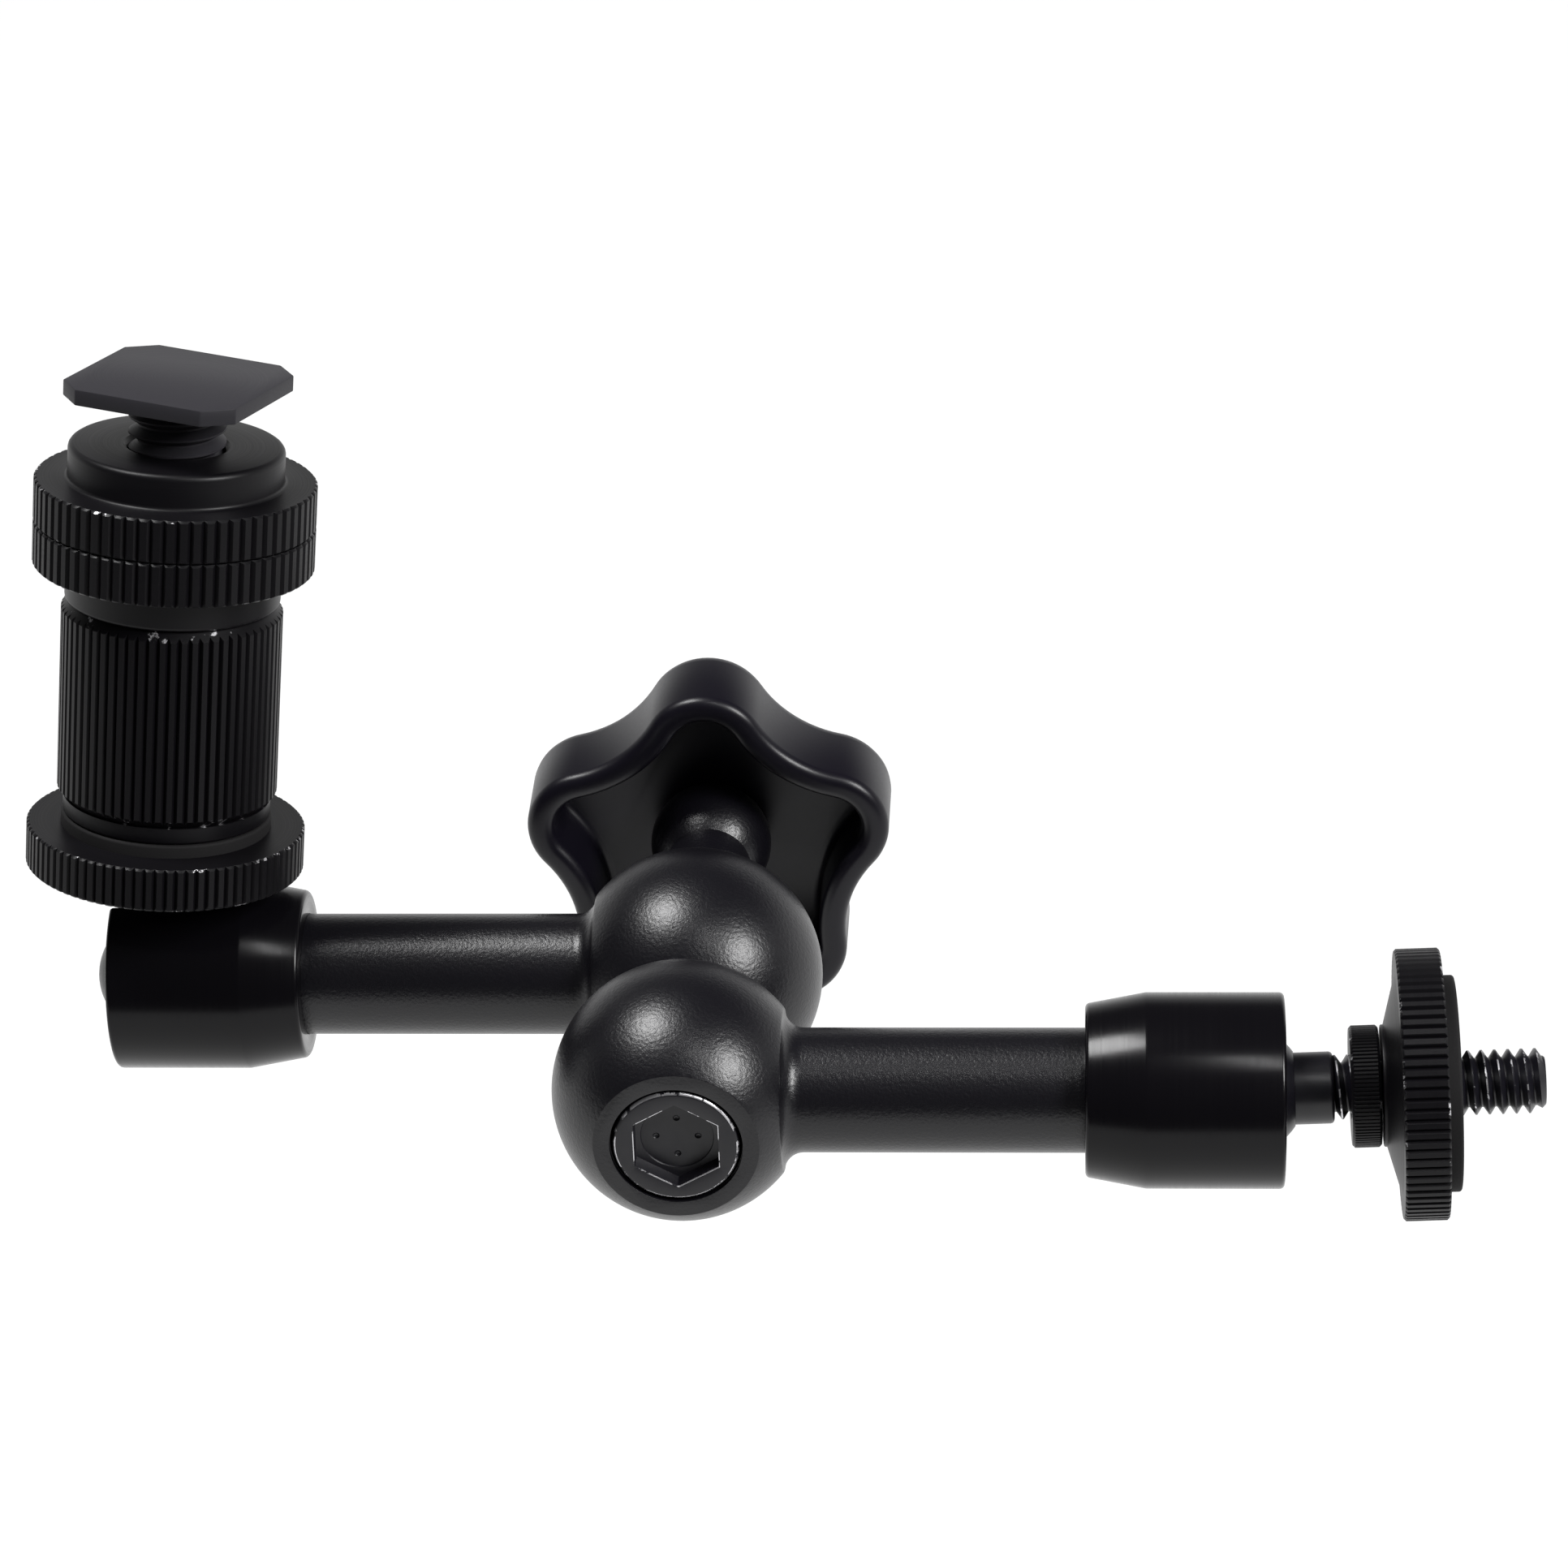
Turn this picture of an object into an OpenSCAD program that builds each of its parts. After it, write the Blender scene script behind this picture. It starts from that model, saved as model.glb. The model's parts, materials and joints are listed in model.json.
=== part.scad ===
// Two-piece articulating friction arm with a ball stud at each end.
// Millimetres. The origin is the centre of the base pad's front face, where the bare
// screw starts. +X runs out along that screw, +Z is up beside the upright shoe adapter.

/* [Arms] */
// Diameter of each arm's round tube
tube_d = 12; // [10:0.5:13]
// Distance from a knuckle's centre to the centre of the ball at that arm's end
arm_reach = 53.6; // [46:0.2:80]
// Diameter of the ball-shaped knuckle
knuckle_d = 25.2; // [24.6:0.2:27]
// Distance from a knuckle's centre to its flat outer face
knuckle_flat = 9.8; // [9.4:0.1:10.4]
// Distance between the centres of the two knuckles
knuckle_pitch = 21; // [20.4:0.2:22]
// Radius of the blend between a knuckle and its tube
knuckle_blend = 3; // [1.5:0.5:5]
// Thickness of the friction washer between the knuckles
washer_t = 0.5; // [0.3:0.1:0.8]
// Radius of the bore through each knuckle
knuckle_bore_r = 6.3; // [6.1:0.1:6.6]
// Radius of the smaller bore behind each mating face
throat_r = 5.4; // [4.8:0.1:5.6]

/* [Pose] */
// Turn of the elbow's axis out of the level, about the arm
arm_roll = 10; // [0:1:15]
// Lean of the shoe adapter back over its arm, past square
tip_lean = 5; // [0:0.5:5]
// Rise of the arms above the line of the base screw
base_lean = 2.2; // [0:0.2:5]
// Turn of the shoe foot about its screw
foot_turn = -17; // [-90:1:90]

/* [Socket caps] */
// Diameter of a socket cap
cap_d = 18.8; // [18:0.2:20]
// Diameter of a socket cap at its rear end
cap_rear_d = 16.6; // [15:0.2:17.6]
// Length of a socket cap
cap_length = 19; // [18:0.2:24]
// Length of the taper at the rear of a socket cap
cap_taper = 5.8; // [3:0.2:8]
// Distance from the ball's centre to the open end of its cap
cap_mouth = 4.1; // [3.8:0.1:4.6]
// Radius of the round mouth that holds the ball in
mouth_r = 5; // [4.6:0.1:5.3]
// Width of the slot that lets the stud fold square to the arm
slot_w = 7.7; // [7.4:0.1:8.4]

/* [Ball studs] */
// Diameter of the ball
ball_d = 12.4; // [12:0.1:12.6]
// Diameter of the plain neck under the ball
neck_d = 6.9; // [6.4:0.1:7]
// Distance from the ball's centre to the end of the neck
neck_end = 8.8; // [8:0.1:9.5]
// Outside diameter of the bare quarter inch screw thread
screw_d = 6.2; // [6.1:0.05:6.35]
// Pitch diameter of the same screw, where nuts cover it
covered_screw_d = 5.5; // [5.3:0.05:5.7]
// Distance from the ball's centre to the tip of the screw
stud_length = 28.9; // [26:0.1:34]

/* [Base end] */
// Diameter of the thin jam nut
jam_nut_d = 11.7; // [10:0.1:14]
// Thickness of the thin jam nut
jam_nut_t = 2.8; // [2:0.1:3.2]
// Number of grooves round the thin jam nut
jam_nut_grooves = 60; // [40:1:90]
// Diameter of the base lock disc
base_disc_d = 26; // [24:0.2:28]
// Number of grooves round the base lock disc
base_disc_grooves = 81; // [60:1:96]

/* [Lock discs and pads] */
// Diameter of a lock disc's hub
hub_d = 11.7; // [10:0.1:14]
// Thickness of the lock disc from its hub to its pad
disc_t = 5.9; // [5.2:0.1:7]
// Thickness of the grooved rim of a lock disc or shoe nut
rim_t = 4.3; // [3.5:0.1:4.8]
// Diameter of the rubber pad
pad_d = 20.7; // [18:0.1:22]
// Thickness of the rubber pad
pad_t = 1.3; // [0.8:0.1:2]

/* [Shoe adapter] */
// Diameter of the tip lock disc and of both shoe nuts
nut_disc_d = 27.4; // [26:0.2:28]
// Number of grooves round the tip lock disc
tip_disc_grooves = 84; // [60:1:96]
// Number of grooves round a shoe nut
shoe_nut_grooves = 67; // [50:1:90]
// Diameter of the grooved coupling barrel
barrel_d = 21.6; // [20:0.2:23]
// Number of grooves round the coupling barrel
barrel_grooves = 65; // [50:1:80]
// Length of the coupling barrel with its plain boss
barrel_length = 21.8; // [20:0.2:26]
// Length of the plain boss under the barrel's grooves
barrel_boss = 1.6; // [1:0.1:3]
// Diameter of the boss on a shoe nut
nut_boss_d = 21; // [18:0.2:23]
// Height of the boss on a shoe nut
nut_boss_h = 3.5; // [2.5:0.1:4.5]
// Diameter of the three-eighths inch stud of the shoe foot
foot_stud_d = 9.5; // [9:0.05:9.5]
// Side of the square shoe foot
foot_side = 18.2; // [17.6:0.1:18.6]
// Thickness of the shoe foot's plate
foot_t = 1.6; // [1.4:0.1:2]
// Cut across each corner of the shoe foot
foot_corner = 3.6; // [1:0.2:5]
// Open gap for the shoe rails between the foot and the upper nut
foot_gap = 5.1; // [4.6:0.1:6]

/* [Clamp] */
// Diameter of the draw bolt's head
bolt_head_d = 12.1; // [11.8:0.1:12.2]
// Diameter of the draw bolt's shank
shank_d = 6; // [5:0.2:6]
// Size across the flats of the hexagon socket in the bolt's head
hex_af = 8; // [6:0.5:8.5]
// Depth of the hexagon socket
hex_depth = 2; // [1.5:0.1:3]
// Small diameter of the cones that push the rods
cone_tip_d = 8.6; // [8:0.2:9]
// Length of the cones that push the rods
cone_length = 8; // [7:0.2:8.4]
// Diameter of the push rods
rod_d = 5.6; // [4:0.1:6]
// Radius of the thrust cone where it meets the rear knuckle
thrust_r = 7; // [6.8:0.05:7.1]
// Radius of the thrust cone at the knob
thrust_tip_r = 4; // [3.8:0.1:4.6]
// Distance from the rear knuckle's flat to the knob's rim
knob_gap = 11.4; // [10:0.2:16]

/* [Knob] */
// Diameter of the knob over its lobes
knob_d = 38.4; // [36:0.2:42]
// Diameter of the knob across its valleys
knob_valley_d = 30.4; // [27:0.2:31.6]
// Number of lobes
lobes = 5; // [4:1:6]
// Radius of each lobe's round end
lobe_r = 6.4; // [4.5:0.1:6.8]
// Depth of the knob from its rim to its back
knob_depth = 11; // [10:0.2:14]
// Depth of the hollow that faces the arms
knob_hollow = 8; // [7:0.2:9]
// Wall of the knob round its hollow
knob_wall = 2.8; // [2:0.1:3.2]

/* [Fits] */
// Radial clearance between a shaft or thread and its bore
fit = 0.05; // [0.02:0.01:0.08]
// Gap between two faces that turn on each other
face_gap = 0.1; // [0.05:0.01:0.2]

/* [Hidden] */
$fn = 96;

SATIN_BLACK = [0.11, 0.11, 0.12];
POWDER_BLACK = [0.2, 0.2, 0.21];
STEEL_BLACK = [0.16, 0.16, 0.17];
PLASTIC_BLACK = [0.07, 0.07, 0.075];
RUBBER_BLACK = [0.05, 0.05, 0.05];

eps = 0.01;
over = 1;
edge = 0.5;

// The base ball turns on a spigot of its stud, which stands in for its free swivel
neck_r = neck_d / 2;
ball_face = sqrt(ball_d * ball_d / 4 - neck_r * neck_r) - face_gap;
spigot_r = 2.5;
spigot_length = 3;

// Stations along the base stud, from its ball's centre
jam_nut_from = neck_end + 1.6;
face_play = 2 * face_gap;
base_disc_from = jam_nut_from + jam_nut_t + face_play;
base_pad_from = base_disc_from + disc_t;
base_pad_end = base_pad_from + pad_t;
base_ball_x = -base_pad_end;

// Stations along the tip stud, from its ball's centre
tip_disc_from = neck_end + 1.7;
tip_pad_from = tip_disc_from + disc_t;
barrel_from = tip_pad_from + pad_t + face_gap;
barrel_top = barrel_from + barrel_length;
socket_top = stud_length + 0.8;
foot_stud_from = socket_top + 2.2;
lower_nut_from = barrel_top + face_gap;
nut_t = nut_boss_h + rim_t;
upper_nut_from = lower_nut_from + nut_t + face_gap;
foot_from = upper_nut_from + nut_t + foot_gap;

// Stations along an arm, from its knuckle's centre
cap_rear = arm_reach + cap_mouth - cap_length;
ball_gap = 9.5;
tube_end = arm_reach - ball_gap;
thread_from = cap_rear + 1.2;
cap_bore_r = ball_d / 2 + fit;
thread_r = cap_bore_r - fit;
cup_length = 4.8;
cup_back = ball_gap - 0.3;
slot_back = 0.8;

// Stations along the elbow's axis, from the plane between the knuckles
mate_y = (knuckle_pitch - washer_t) / 2;
flat_w = knuckle_pitch / 2 + knuckle_flat;
head_t = 5;
bolt_rim = 0.15;
cone_wide_w = flat_w - head_t;
cone_tip_w = cone_wide_w - cone_length;
throat_depth = 4.5;
thrust_depth = 4;
thrust_from = flat_w - thrust_depth;
wedge_collar = 1;
knob_rim_w = flat_w + knob_gap;
knob_floor_w = knob_rim_w + knob_hollow;
insert_r = thrust_tip_r - face_gap;
insert_length = 4;
shank_end_w = knob_floor_w + insert_length - 2;
hub_h = 1.6;
hub_r = 7;
draw_travel = 0.75;
shank_r = shank_d / 2;
cone_wide_r = bolt_head_d / 2;
cone_tip_r = cone_tip_d / 2;
cone_slope = (cone_wide_r - cone_tip_r) / cone_length;
cone_mid_r = cone_tip_r + cone_slope * (knuckle_pitch / 2 - cone_tip_w);
rod_tip = cone_mid_r + draw_travel * cone_slope + fit;
rod_end = tube_end + fit;

// Frames

// The arms' frame: origin at the base ball, X out along the arms to the base
module arm_frame() { translate([base_ball_x, 0, 0]) rotate([0, base_lean, 0]) children(); }

// The elbow's frame: origin midway between the knuckles, Y along the elbow's axis
module elbow_frame() {
    arm_frame() translate([-arm_reach, 0, 0]) rotate([arm_roll, 0, 0])
        translate([0, knuckle_pitch / 2, 0]) children();
}

// Frames of the two arms: origin at the knuckle's centre, X out to the ball
module front_arm_frame() { elbow_frame() translate([0, -knuckle_pitch / 2, 0]) children(); }
module rear_arm_frame() { elbow_frame() rotate([0, 0, 180]) translate([0, -knuckle_pitch / 2, 0]) children(); }

// The frame of the tip ball, level with the arms
module tip_frame() {
    arm_frame()
        translate([-2 * arm_reach, knuckle_pitch * cos(arm_roll), knuckle_pitch * sin(arm_roll)]) children();
}

// Stack frames: origin at the ball's centre, Z out along the stud
module base_stack() { translate([base_ball_x, 0, 0]) rotate([0, 90, 0]) children(); }
module tip_stack() { tip_frame() rotate([0, tip_lean, 0]) children(); }

// Turns Z onto the elbow's axis
module along_axis() { rotate([-90, 0, 0]) children(); }

// Turns Z out along the arm
module along_arm() { rotate([0, 90, 0]) children(); }

// Shapes that repeat

// Outline of a straight knurl: flat crests between V grooves
function knurl_outline(r, depth, count, crest = 0.3) = [
    for (i = [0 : count - 1], p = [[-crest, r], [crest, r], [0.5, r - depth]])
        let (a = (i + p[0]) * 360 / count) [p[1] * cos(a), p[1] * sin(a)]
];

// A grooved rim with both edges chamfered
module knurled_rim(r, h, count, depth, chamfer) {
    clear = 0.2;
    intersection() {
        linear_extrude(height = h) polygon(knurl_outline(r, depth, count));
        rotate_extrude() polygon([
            [0, 0], [r - chamfer, 0], [r + clear, chamfer + clear],
            [r + clear, h - chamfer - clear], [r - chamfer, h], [0, h]
        ]);
    }
}

// A plain round boss with one broken edge at its top
module boss(r, h, chamfer) {
    rotate_extrude() polygon([[0, 0], [r, 0], [r, h - chamfer], [r - chamfer, h], [0, h]]);
}

// A bore along Z
module bore(r, from, to) { translate([0, 0, from]) cylinder(r = r, h = to - from); }

// Profile of the blend from the knuckle's ball to the tube
function blend_centre() =
    let (h = tube_d / 2 + knuckle_blend, d = knuckle_d / 2 + knuckle_blend) [sqrt(d * d - h * h), h];
function blend_points(steps = 8) =
    let (c = blend_centre(), start = 180 + atan2(c[1], c[0]), stop = 268)
    [for (i = [0 : steps])
        let (a = start + (stop - start) * i / steps)
        [c[0] + knuckle_blend * cos(a), c[1] + knuckle_blend * sin(a)]];

// One arm: ball knuckle with two flats, blend, tube and the collar that its cap screws on
module arm_body(counterbore_r, counterbore_depth) {
    blend = blend_points();
    throat_from = mate_y - throat_depth;
    difference() {
        union() {
            intersection() {
                along_axis() sphere(d = knuckle_d);
                translate([-knuckle_d, -knuckle_flat, -knuckle_d])
                    cube([2 * knuckle_d, knuckle_flat + mate_y, 2 * knuckle_d]);
            }
            along_arm() rotate_extrude()
                polygon(concat(
                    [[0, blend[0][0] - over], [blend[0][1] - over, blend[0][0] - over]],
                    [for (p = blend) [p[1], p[0]]],
                    [[0, blend[len(blend) - 1][0]]]
                ));
            along_arm() cylinder(d = tube_d, h = tube_end);
            along_arm() bore(thread_r, thread_from, tube_end);
        }
        along_axis() rotate_extrude() polygon([
            [0, -knuckle_flat - over], [counterbore_r, -knuckle_flat - over],
            [counterbore_r, counterbore_depth - knuckle_flat],
            [knuckle_bore_r, counterbore_depth - knuckle_flat], [knuckle_bore_r, throat_from],
            [throat_r, throat_from], [throat_r, mate_y + over], [0, mate_y + over]
        ]);
        along_arm() bore(rod_d / 2 + fit, cone_tip_r, tube_end + over);
    }
}

// A socket cap: mouth along +X, fold slot towards +Z, origin at the ball's centre
module socket_cap() {
    rear = cap_mouth - cap_length;
    r = cap_d / 2;
    rear_r = cap_rear_d / 2;
    along_arm() difference() {
        rotate_extrude() polygon([
            [0, rear], [rear_r - edge, rear], [rear_r, rear + edge], [r, rear + cap_taper],
            [r, cap_mouth - edge], [r - edge, cap_mouth], [0, cap_mouth]
        ]);
        bore(cap_bore_r, rear + 1, -edge);
        bore(tube_d / 2 + fit, rear - over, rear + 2);
        sphere(r = cap_bore_r);
        bore(mouth_r, 0, cap_mouth + over);
        translate([0, 0, cap_mouth - edge])
            cylinder(r1 = mouth_r - eps, r2 = mouth_r + edge + over, h = edge + over);
        translate([0, 0, -slot_back]) rotate([0, -90, 0]) cylinder(d = slot_w, h = cap_d);
        translate([-cap_d, -slot_w / 2, -slot_back]) cube([cap_d, slot_w, cap_mouth + slot_back + over]);
    }
}

// The cup behind a ball: mouth along +X, origin at the ball's centre
module ball_cup() {
    along_arm() difference() {
        bore(cap_bore_r - fit, -cup_back, cup_length - cup_back);
        sphere(r = cap_bore_r);
    }
}

// A push rod between a cone and a ball cup, along the arm from the knuckle's centre
module push_rod() {
    r = rod_d / 2;
    along_arm() intersection() {
        bore(r, rod_tip, rod_end);
        translate([0, 0, rod_tip + r + edge]) union() {
            sphere(r = r + edge);
            bore(r + edge, 0, rod_end);
        }
    }
}

// The neck and screw of a ball stud along Z, from the station given, with its bare thread from another
module stud_post(from, bare_from) {
    covered_r = covered_screw_d / 2;
    r = bare_from < stud_length ? screw_d / 2 : covered_r;
    point = 0.8;
    rotate_extrude() polygon([
        [0, from], [neck_r, from], [neck_r, neck_end - edge], [covered_r, neck_end], [covered_r, bare_from],
        [r, bare_from], [r, stud_length - point], [r - point, stud_length], [0, stud_length]
    ]);
}

// A lock disc along Z: hub, cone and grooved rim
module lock_disc(d, from, grooves) {
    cone_from = 0.3;
    rim_from = disc_t - rim_t;
    cone_r = d / 2 - 2.4;
    translate([0, 0, from]) difference() {
        union() {
            rotate_extrude() polygon([
                [0, 0], [hub_d / 2, 0], [hub_d / 2, cone_from], [cone_r, rim_from],
                [cone_r, rim_from + eps], [0, rim_from + eps]
            ]);
            translate([0, 0, rim_from]) knurled_rim(d / 2, rim_t, grooves, 0.35, 0.2);
        }
        bore(covered_screw_d / 2 + fit, -over, disc_t + over);
    }
}

// A rubber pad along Z
module pad(from) {
    soft = 0.25;
    hole = screw_d / 2 + fit;
    r = pad_d / 2;
    translate([0, 0, from]) rotate_extrude()
        polygon([[hole, 0], [r, 0], [r, pad_t - soft], [r - soft, pad_t], [hole, pad_t]]);
}

// A shoe nut along Z, standing on its boss
module shoe_nut() {
    difference() {
        union() {
            translate([0, 0, nut_boss_h]) knurled_rim(nut_disc_d / 2, rim_t, shoe_nut_grooves, 0.35, 0.2);
            translate([0, 0, nut_boss_h + eps]) mirror([0, 0, 1]) boss(nut_boss_d / 2, nut_boss_h + eps, 0.4);
        }
        bore(foot_stud_d / 2 + fit, -over, nut_t + over);
    }
}

// Rings of the knob: each point is moved in from the lobed outline by the inset given
function knob_outline(inset, lobe_steps = 10, valley_steps = 7) =
    let (
        half = 180 / lobes,
        c = knob_d / 2 - lobe_r,
        v = knob_valley_d / 2,
        valley_r = (c * c + v * v - 2 * c * v * cos(half) - lobe_r * lobe_r)
            / (2 * (lobe_r - v + c * cos(half))),
        far = v + valley_r,
        turn = atan2(far * sin(half), far * cos(half) - c)
    )
    [for (k = [0 : lobes - 1])
        let (base = k * 2 * half - 90)
        each concat(
            [for (i = [0 : lobe_steps])
                let (a = -turn + 2 * turn * i / lobe_steps, r = lobe_r - inset)
                knob_turned(c + r * cos(a), r * sin(a), base)],
            [for (i = [1 : valley_steps - 1])
                let (a = 180 + turn - 2 * (turn - half) * i / valley_steps, r = valley_r + inset)
                knob_turned(far * cos(half) + r * cos(a), far * sin(half) + r * sin(a), base)]
        )
    ];
function knob_turned(x, y, a) = [x * cos(a) - y * sin(a), x * sin(a) + y * cos(a)];

// A solid skinned over rings of points, each ring given as [height, inset]
module knob_skin(stations) {
    n = len(knob_outline(0));
    points = [for (s = stations) each [for (p = knob_outline(s[1])) [p[0], p[1], s[0]]]];
    last = (len(stations) - 1) * n;
    sides = [for (j = [0 : len(stations) - 2], i = [0 : n - 1])
        let (a = j * n + i, b = j * n + (i + 1) % n)
        each [[a, b, b + n], [a, b + n, a + n]]];
    caps = [[for (i = [n - 1 : -1 : 0]) i], [for (i = [0 : n - 1]) last + i]];
    polyhedron(points = points, faces = concat(sides, caps), convexity = 6);
}

// Base end

module base_ball_stud() {
    color(STEEL_BLACK) base_stack() {
        stud_post(ball_face + fit, base_pad_end);
        bore(spigot_r, ball_face - spigot_length, neck_end);
    }
}

module base_ball() {
    color(STEEL_BLACK) base_stack() difference() {
        sphere(d = ball_d);
        bore(ball_d, ball_face, ball_d);
        bore(spigot_r + fit, ball_face - spigot_length - fit, ball_face + over);
    }
}

module base_jam_nut() {
    color(SATIN_BLACK) base_stack() translate([0, 0, jam_nut_from]) difference() {
        knurled_rim(jam_nut_d / 2, jam_nut_t, jam_nut_grooves, 0.18, 0.1);
        bore(covered_screw_d / 2 + fit, -over, jam_nut_t + over);
    }
}

module base_lock_disc() {
    color(SATIN_BLACK) base_stack() lock_disc(base_disc_d, base_disc_from, base_disc_grooves);
}

module base_pad() { color(RUBBER_BLACK) base_stack() pad(base_pad_from); }

// Front arm

module front_ball_cup() { color(STEEL_BLACK) arm_frame() ball_cup(); }

module front_push_rod() { color("silver") front_arm_frame() push_rod(); }

module front_arm() { color(POWDER_BLACK) front_arm_frame() arm_body(knuckle_bore_r + bolt_rim, 0.6); }

module front_socket_cap() { color(SATIN_BLACK) arm_frame() rotate([180, 0, 0]) socket_cap(); }

// The draw bolt: head with a hexagon socket, cone and shank in one turned piece
module draw_bolt() {
    dimple_r = 0.35;
    floor_r = hex_af / 2;
    color(STEEL_BLACK) elbow_frame() along_axis() difference() {
        rotate_extrude() polygon([
            [0, -flat_w], [cone_wide_r - edge, -flat_w], [cone_wide_r, -flat_w + edge],
            [cone_wide_r, -cone_wide_w], [cone_tip_r, -cone_tip_w], [shank_r, -cone_tip_w],
            [shank_r, shank_end_w - edge], [shank_r - edge, shank_end_w], [0, shank_end_w]
        ]);
        translate([0, 0, -flat_w - over])
            cylinder(r = hex_af / sqrt(3), h = hex_depth + over, $fn = 6);
        translate([0, 0, -flat_w + hex_depth - eps]) cylinder(r1 = floor_r - edge, r2 = 0.2, h = 1.4);
        for (a = [45 : 90 : 315])
            rotate([0, 0, a]) translate([floor_r - 1.1, 0, -flat_w + hex_depth]) sphere(r = dimple_r, $fn = 24);
    }
}

module friction_washer() {
    color("dimgray") elbow_frame() along_axis() difference() {
        bore(knuckle_bore_r + 0.2, -washer_t / 2, washer_t / 2 - face_gap / 2);
        bore(throat_r + fit, -over, over);
    }
}

// The spring that parts the two cones when the knob is let off
module release_spring() {
    wire_r = 0.6;
    turns = 5;
    steps = 20;
    sides = 8;
    mean_r = shank_r + wire_r + 0.2;
    reach = cone_tip_w - draw_travel - wire_r - 0.15;
    count = turns * steps;
    path = [for (i = [0 : count])
        let (a = 360 * i / steps) [mean_r * cos(a), mean_r * sin(a), -reach + 2 * reach * i / count]];
    points = [for (i = [0 : count], j = [0 : sides - 1])
        let (a = 360 * i / steps, b = 360 * j / sides, r = wire_r * cos(b))
        path[i] + [r * cos(a), r * sin(a), wire_r * sin(b)]];
    walls = [for (i = [0 : count - 1], j = [0 : sides - 1])
        let (a = i * sides + j, b = i * sides + (j + 1) % sides)
        each [[a, b, b + sides], [a, b + sides, a + sides]]];
    ends = [[for (j = [0 : sides - 1]) sides - 1 - j], [for (j = [0 : sides - 1]) count * sides + j]];
    color("silver") elbow_frame() along_axis()
        polyhedron(points = points, faces = concat(walls, ends), convexity = 10);
}

// Rear arm

module rear_arm() { color(POWDER_BLACK) rear_arm_frame() arm_body(thrust_r + fit, thrust_depth + over + draw_travel); }

module rear_socket_cap() { color(SATIN_BLACK) tip_frame() rotate([0, 0, 180]) socket_cap(); }

module rear_ball_cup() { color(STEEL_BLACK) tip_frame() rotate([0, 0, 180]) ball_cup(); }

module rear_push_rod() { color("silver") rear_arm_frame() push_rod(); }

// The sliding cone that faces the bolt's own cone
module rear_wedge() {
    guide_r = knuckle_bore_r - fit;
    color("silver") elbow_frame() along_axis() rotate_extrude() polygon([
        [shank_r + fit, cone_tip_w], [cone_tip_r, cone_tip_w], [cone_wide_r, cone_wide_w],
        [guide_r, cone_wide_w], [guide_r, thrust_from], [shank_r + fit, thrust_from]
    ]);
}

module thrust_cone() {
    lip = 0.4;
    color(POWDER_BLACK) elbow_frame() along_axis() rotate_extrude() polygon([
        [shank_r + fit, thrust_from], [thrust_r, thrust_from], [thrust_r, flat_w + lip],
        [thrust_tip_r, knob_floor_w - face_gap], [shank_r + fit, knob_floor_w - face_gap]
    ]);
}

// Five-lobed knob: hollow towards the arms, blind hub at the back
module knob() {
    back_r = 2.5;
    rim_r = 1.1;
    foot_r = 1;
    arc = [0 : 22.5 : 90];
    stations = concat(
        [for (a = arc) [knob_depth - back_r + back_r * cos(a), back_r - back_r * sin(a)]],
        [for (a = arc) [rim_r - rim_r * sin(a), rim_r - rim_r * cos(a)]],
        [for (a = [22.5 : 22.5 : 90]) [rim_r - rim_r * cos(a), knob_wall - rim_r + rim_r * sin(a)]],
        [for (a = [0 : 30 : 90])
            [knob_hollow - foot_r + foot_r * sin(a), knob_wall + foot_r - foot_r * cos(a)]]
    );
    color(PLASTIC_BLACK) elbow_frame() along_axis() translate([0, 0, knob_rim_w]) difference() {
        union() {
            knob_skin(stations);
            translate([0, 0, knob_depth - edge]) boss(hub_r, hub_h + edge, 0.6);
        }
        bore(insert_r, knob_hollow - over, knob_hollow + insert_length);
    }
}

module knob_insert() {
    color("goldenrod") elbow_frame() along_axis() translate([0, 0, knob_floor_w]) difference() {
        bore(insert_r, 0, insert_length);
        bore(shank_r + fit, -over, insert_length + over);
    }
}

// Tip end

module tip_ball_stud() {
    color(STEEL_BLACK) tip_stack() {
        sphere(d = ball_d);
        stud_post(0, stud_length);
    }
}

module tip_lock_disc() {
    color(SATIN_BLACK) tip_stack() lock_disc(nut_disc_d, tip_disc_from, tip_disc_grooves);
}

module tip_pad() { color(RUBBER_BLACK) tip_stack() pad(tip_pad_from); }

module coupling_barrel() {
    grooved = barrel_length - barrel_boss;
    color(SATIN_BLACK) tip_stack() difference() {
        union() {
            translate([0, 0, barrel_from + barrel_boss])
                knurled_rim(barrel_d / 2, grooved, barrel_grooves, 0.4, 0.9);
            bore(barrel_d / 2 - 0.6, barrel_from, barrel_from + barrel_boss + edge);
        }
        bore(covered_screw_d / 2 + fit, barrel_from - over, socket_top);
        bore(foot_stud_d / 2 + fit, socket_top + 1, barrel_top + over);
    }
}

module lower_shoe_nut() { color(SATIN_BLACK) tip_stack() translate([0, 0, lower_nut_from]) shoe_nut(); }

module upper_shoe_nut() {
    color(SATIN_BLACK) tip_stack() translate([0, 0, upper_nut_from + nut_t]) mirror([0, 0, 1]) shoe_nut();
}

// The shoe foot: square plate and its stud in one piece
module shoe_foot() {
    h = foot_side / 2;
    c = foot_corner / sqrt(2);
    point = 0.8;
    r = foot_stud_d / 2;
    color(SATIN_BLACK) tip_stack() rotate([0, 0, foot_turn]) {
        translate([0, 0, foot_from]) linear_extrude(height = foot_t) polygon([
            [h - c, -h], [h, c - h], [h, h - c], [h - c, h], [c - h, h], [-h, h - c], [-h, c - h], [c - h, -h]
        ]);
        rotate_extrude() polygon([
            [0, foot_stud_from], [r - point, foot_stud_from], [r, foot_stud_from + point],
            [r, foot_from + edge], [0, foot_from + edge]
        ]);
    }
}

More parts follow.
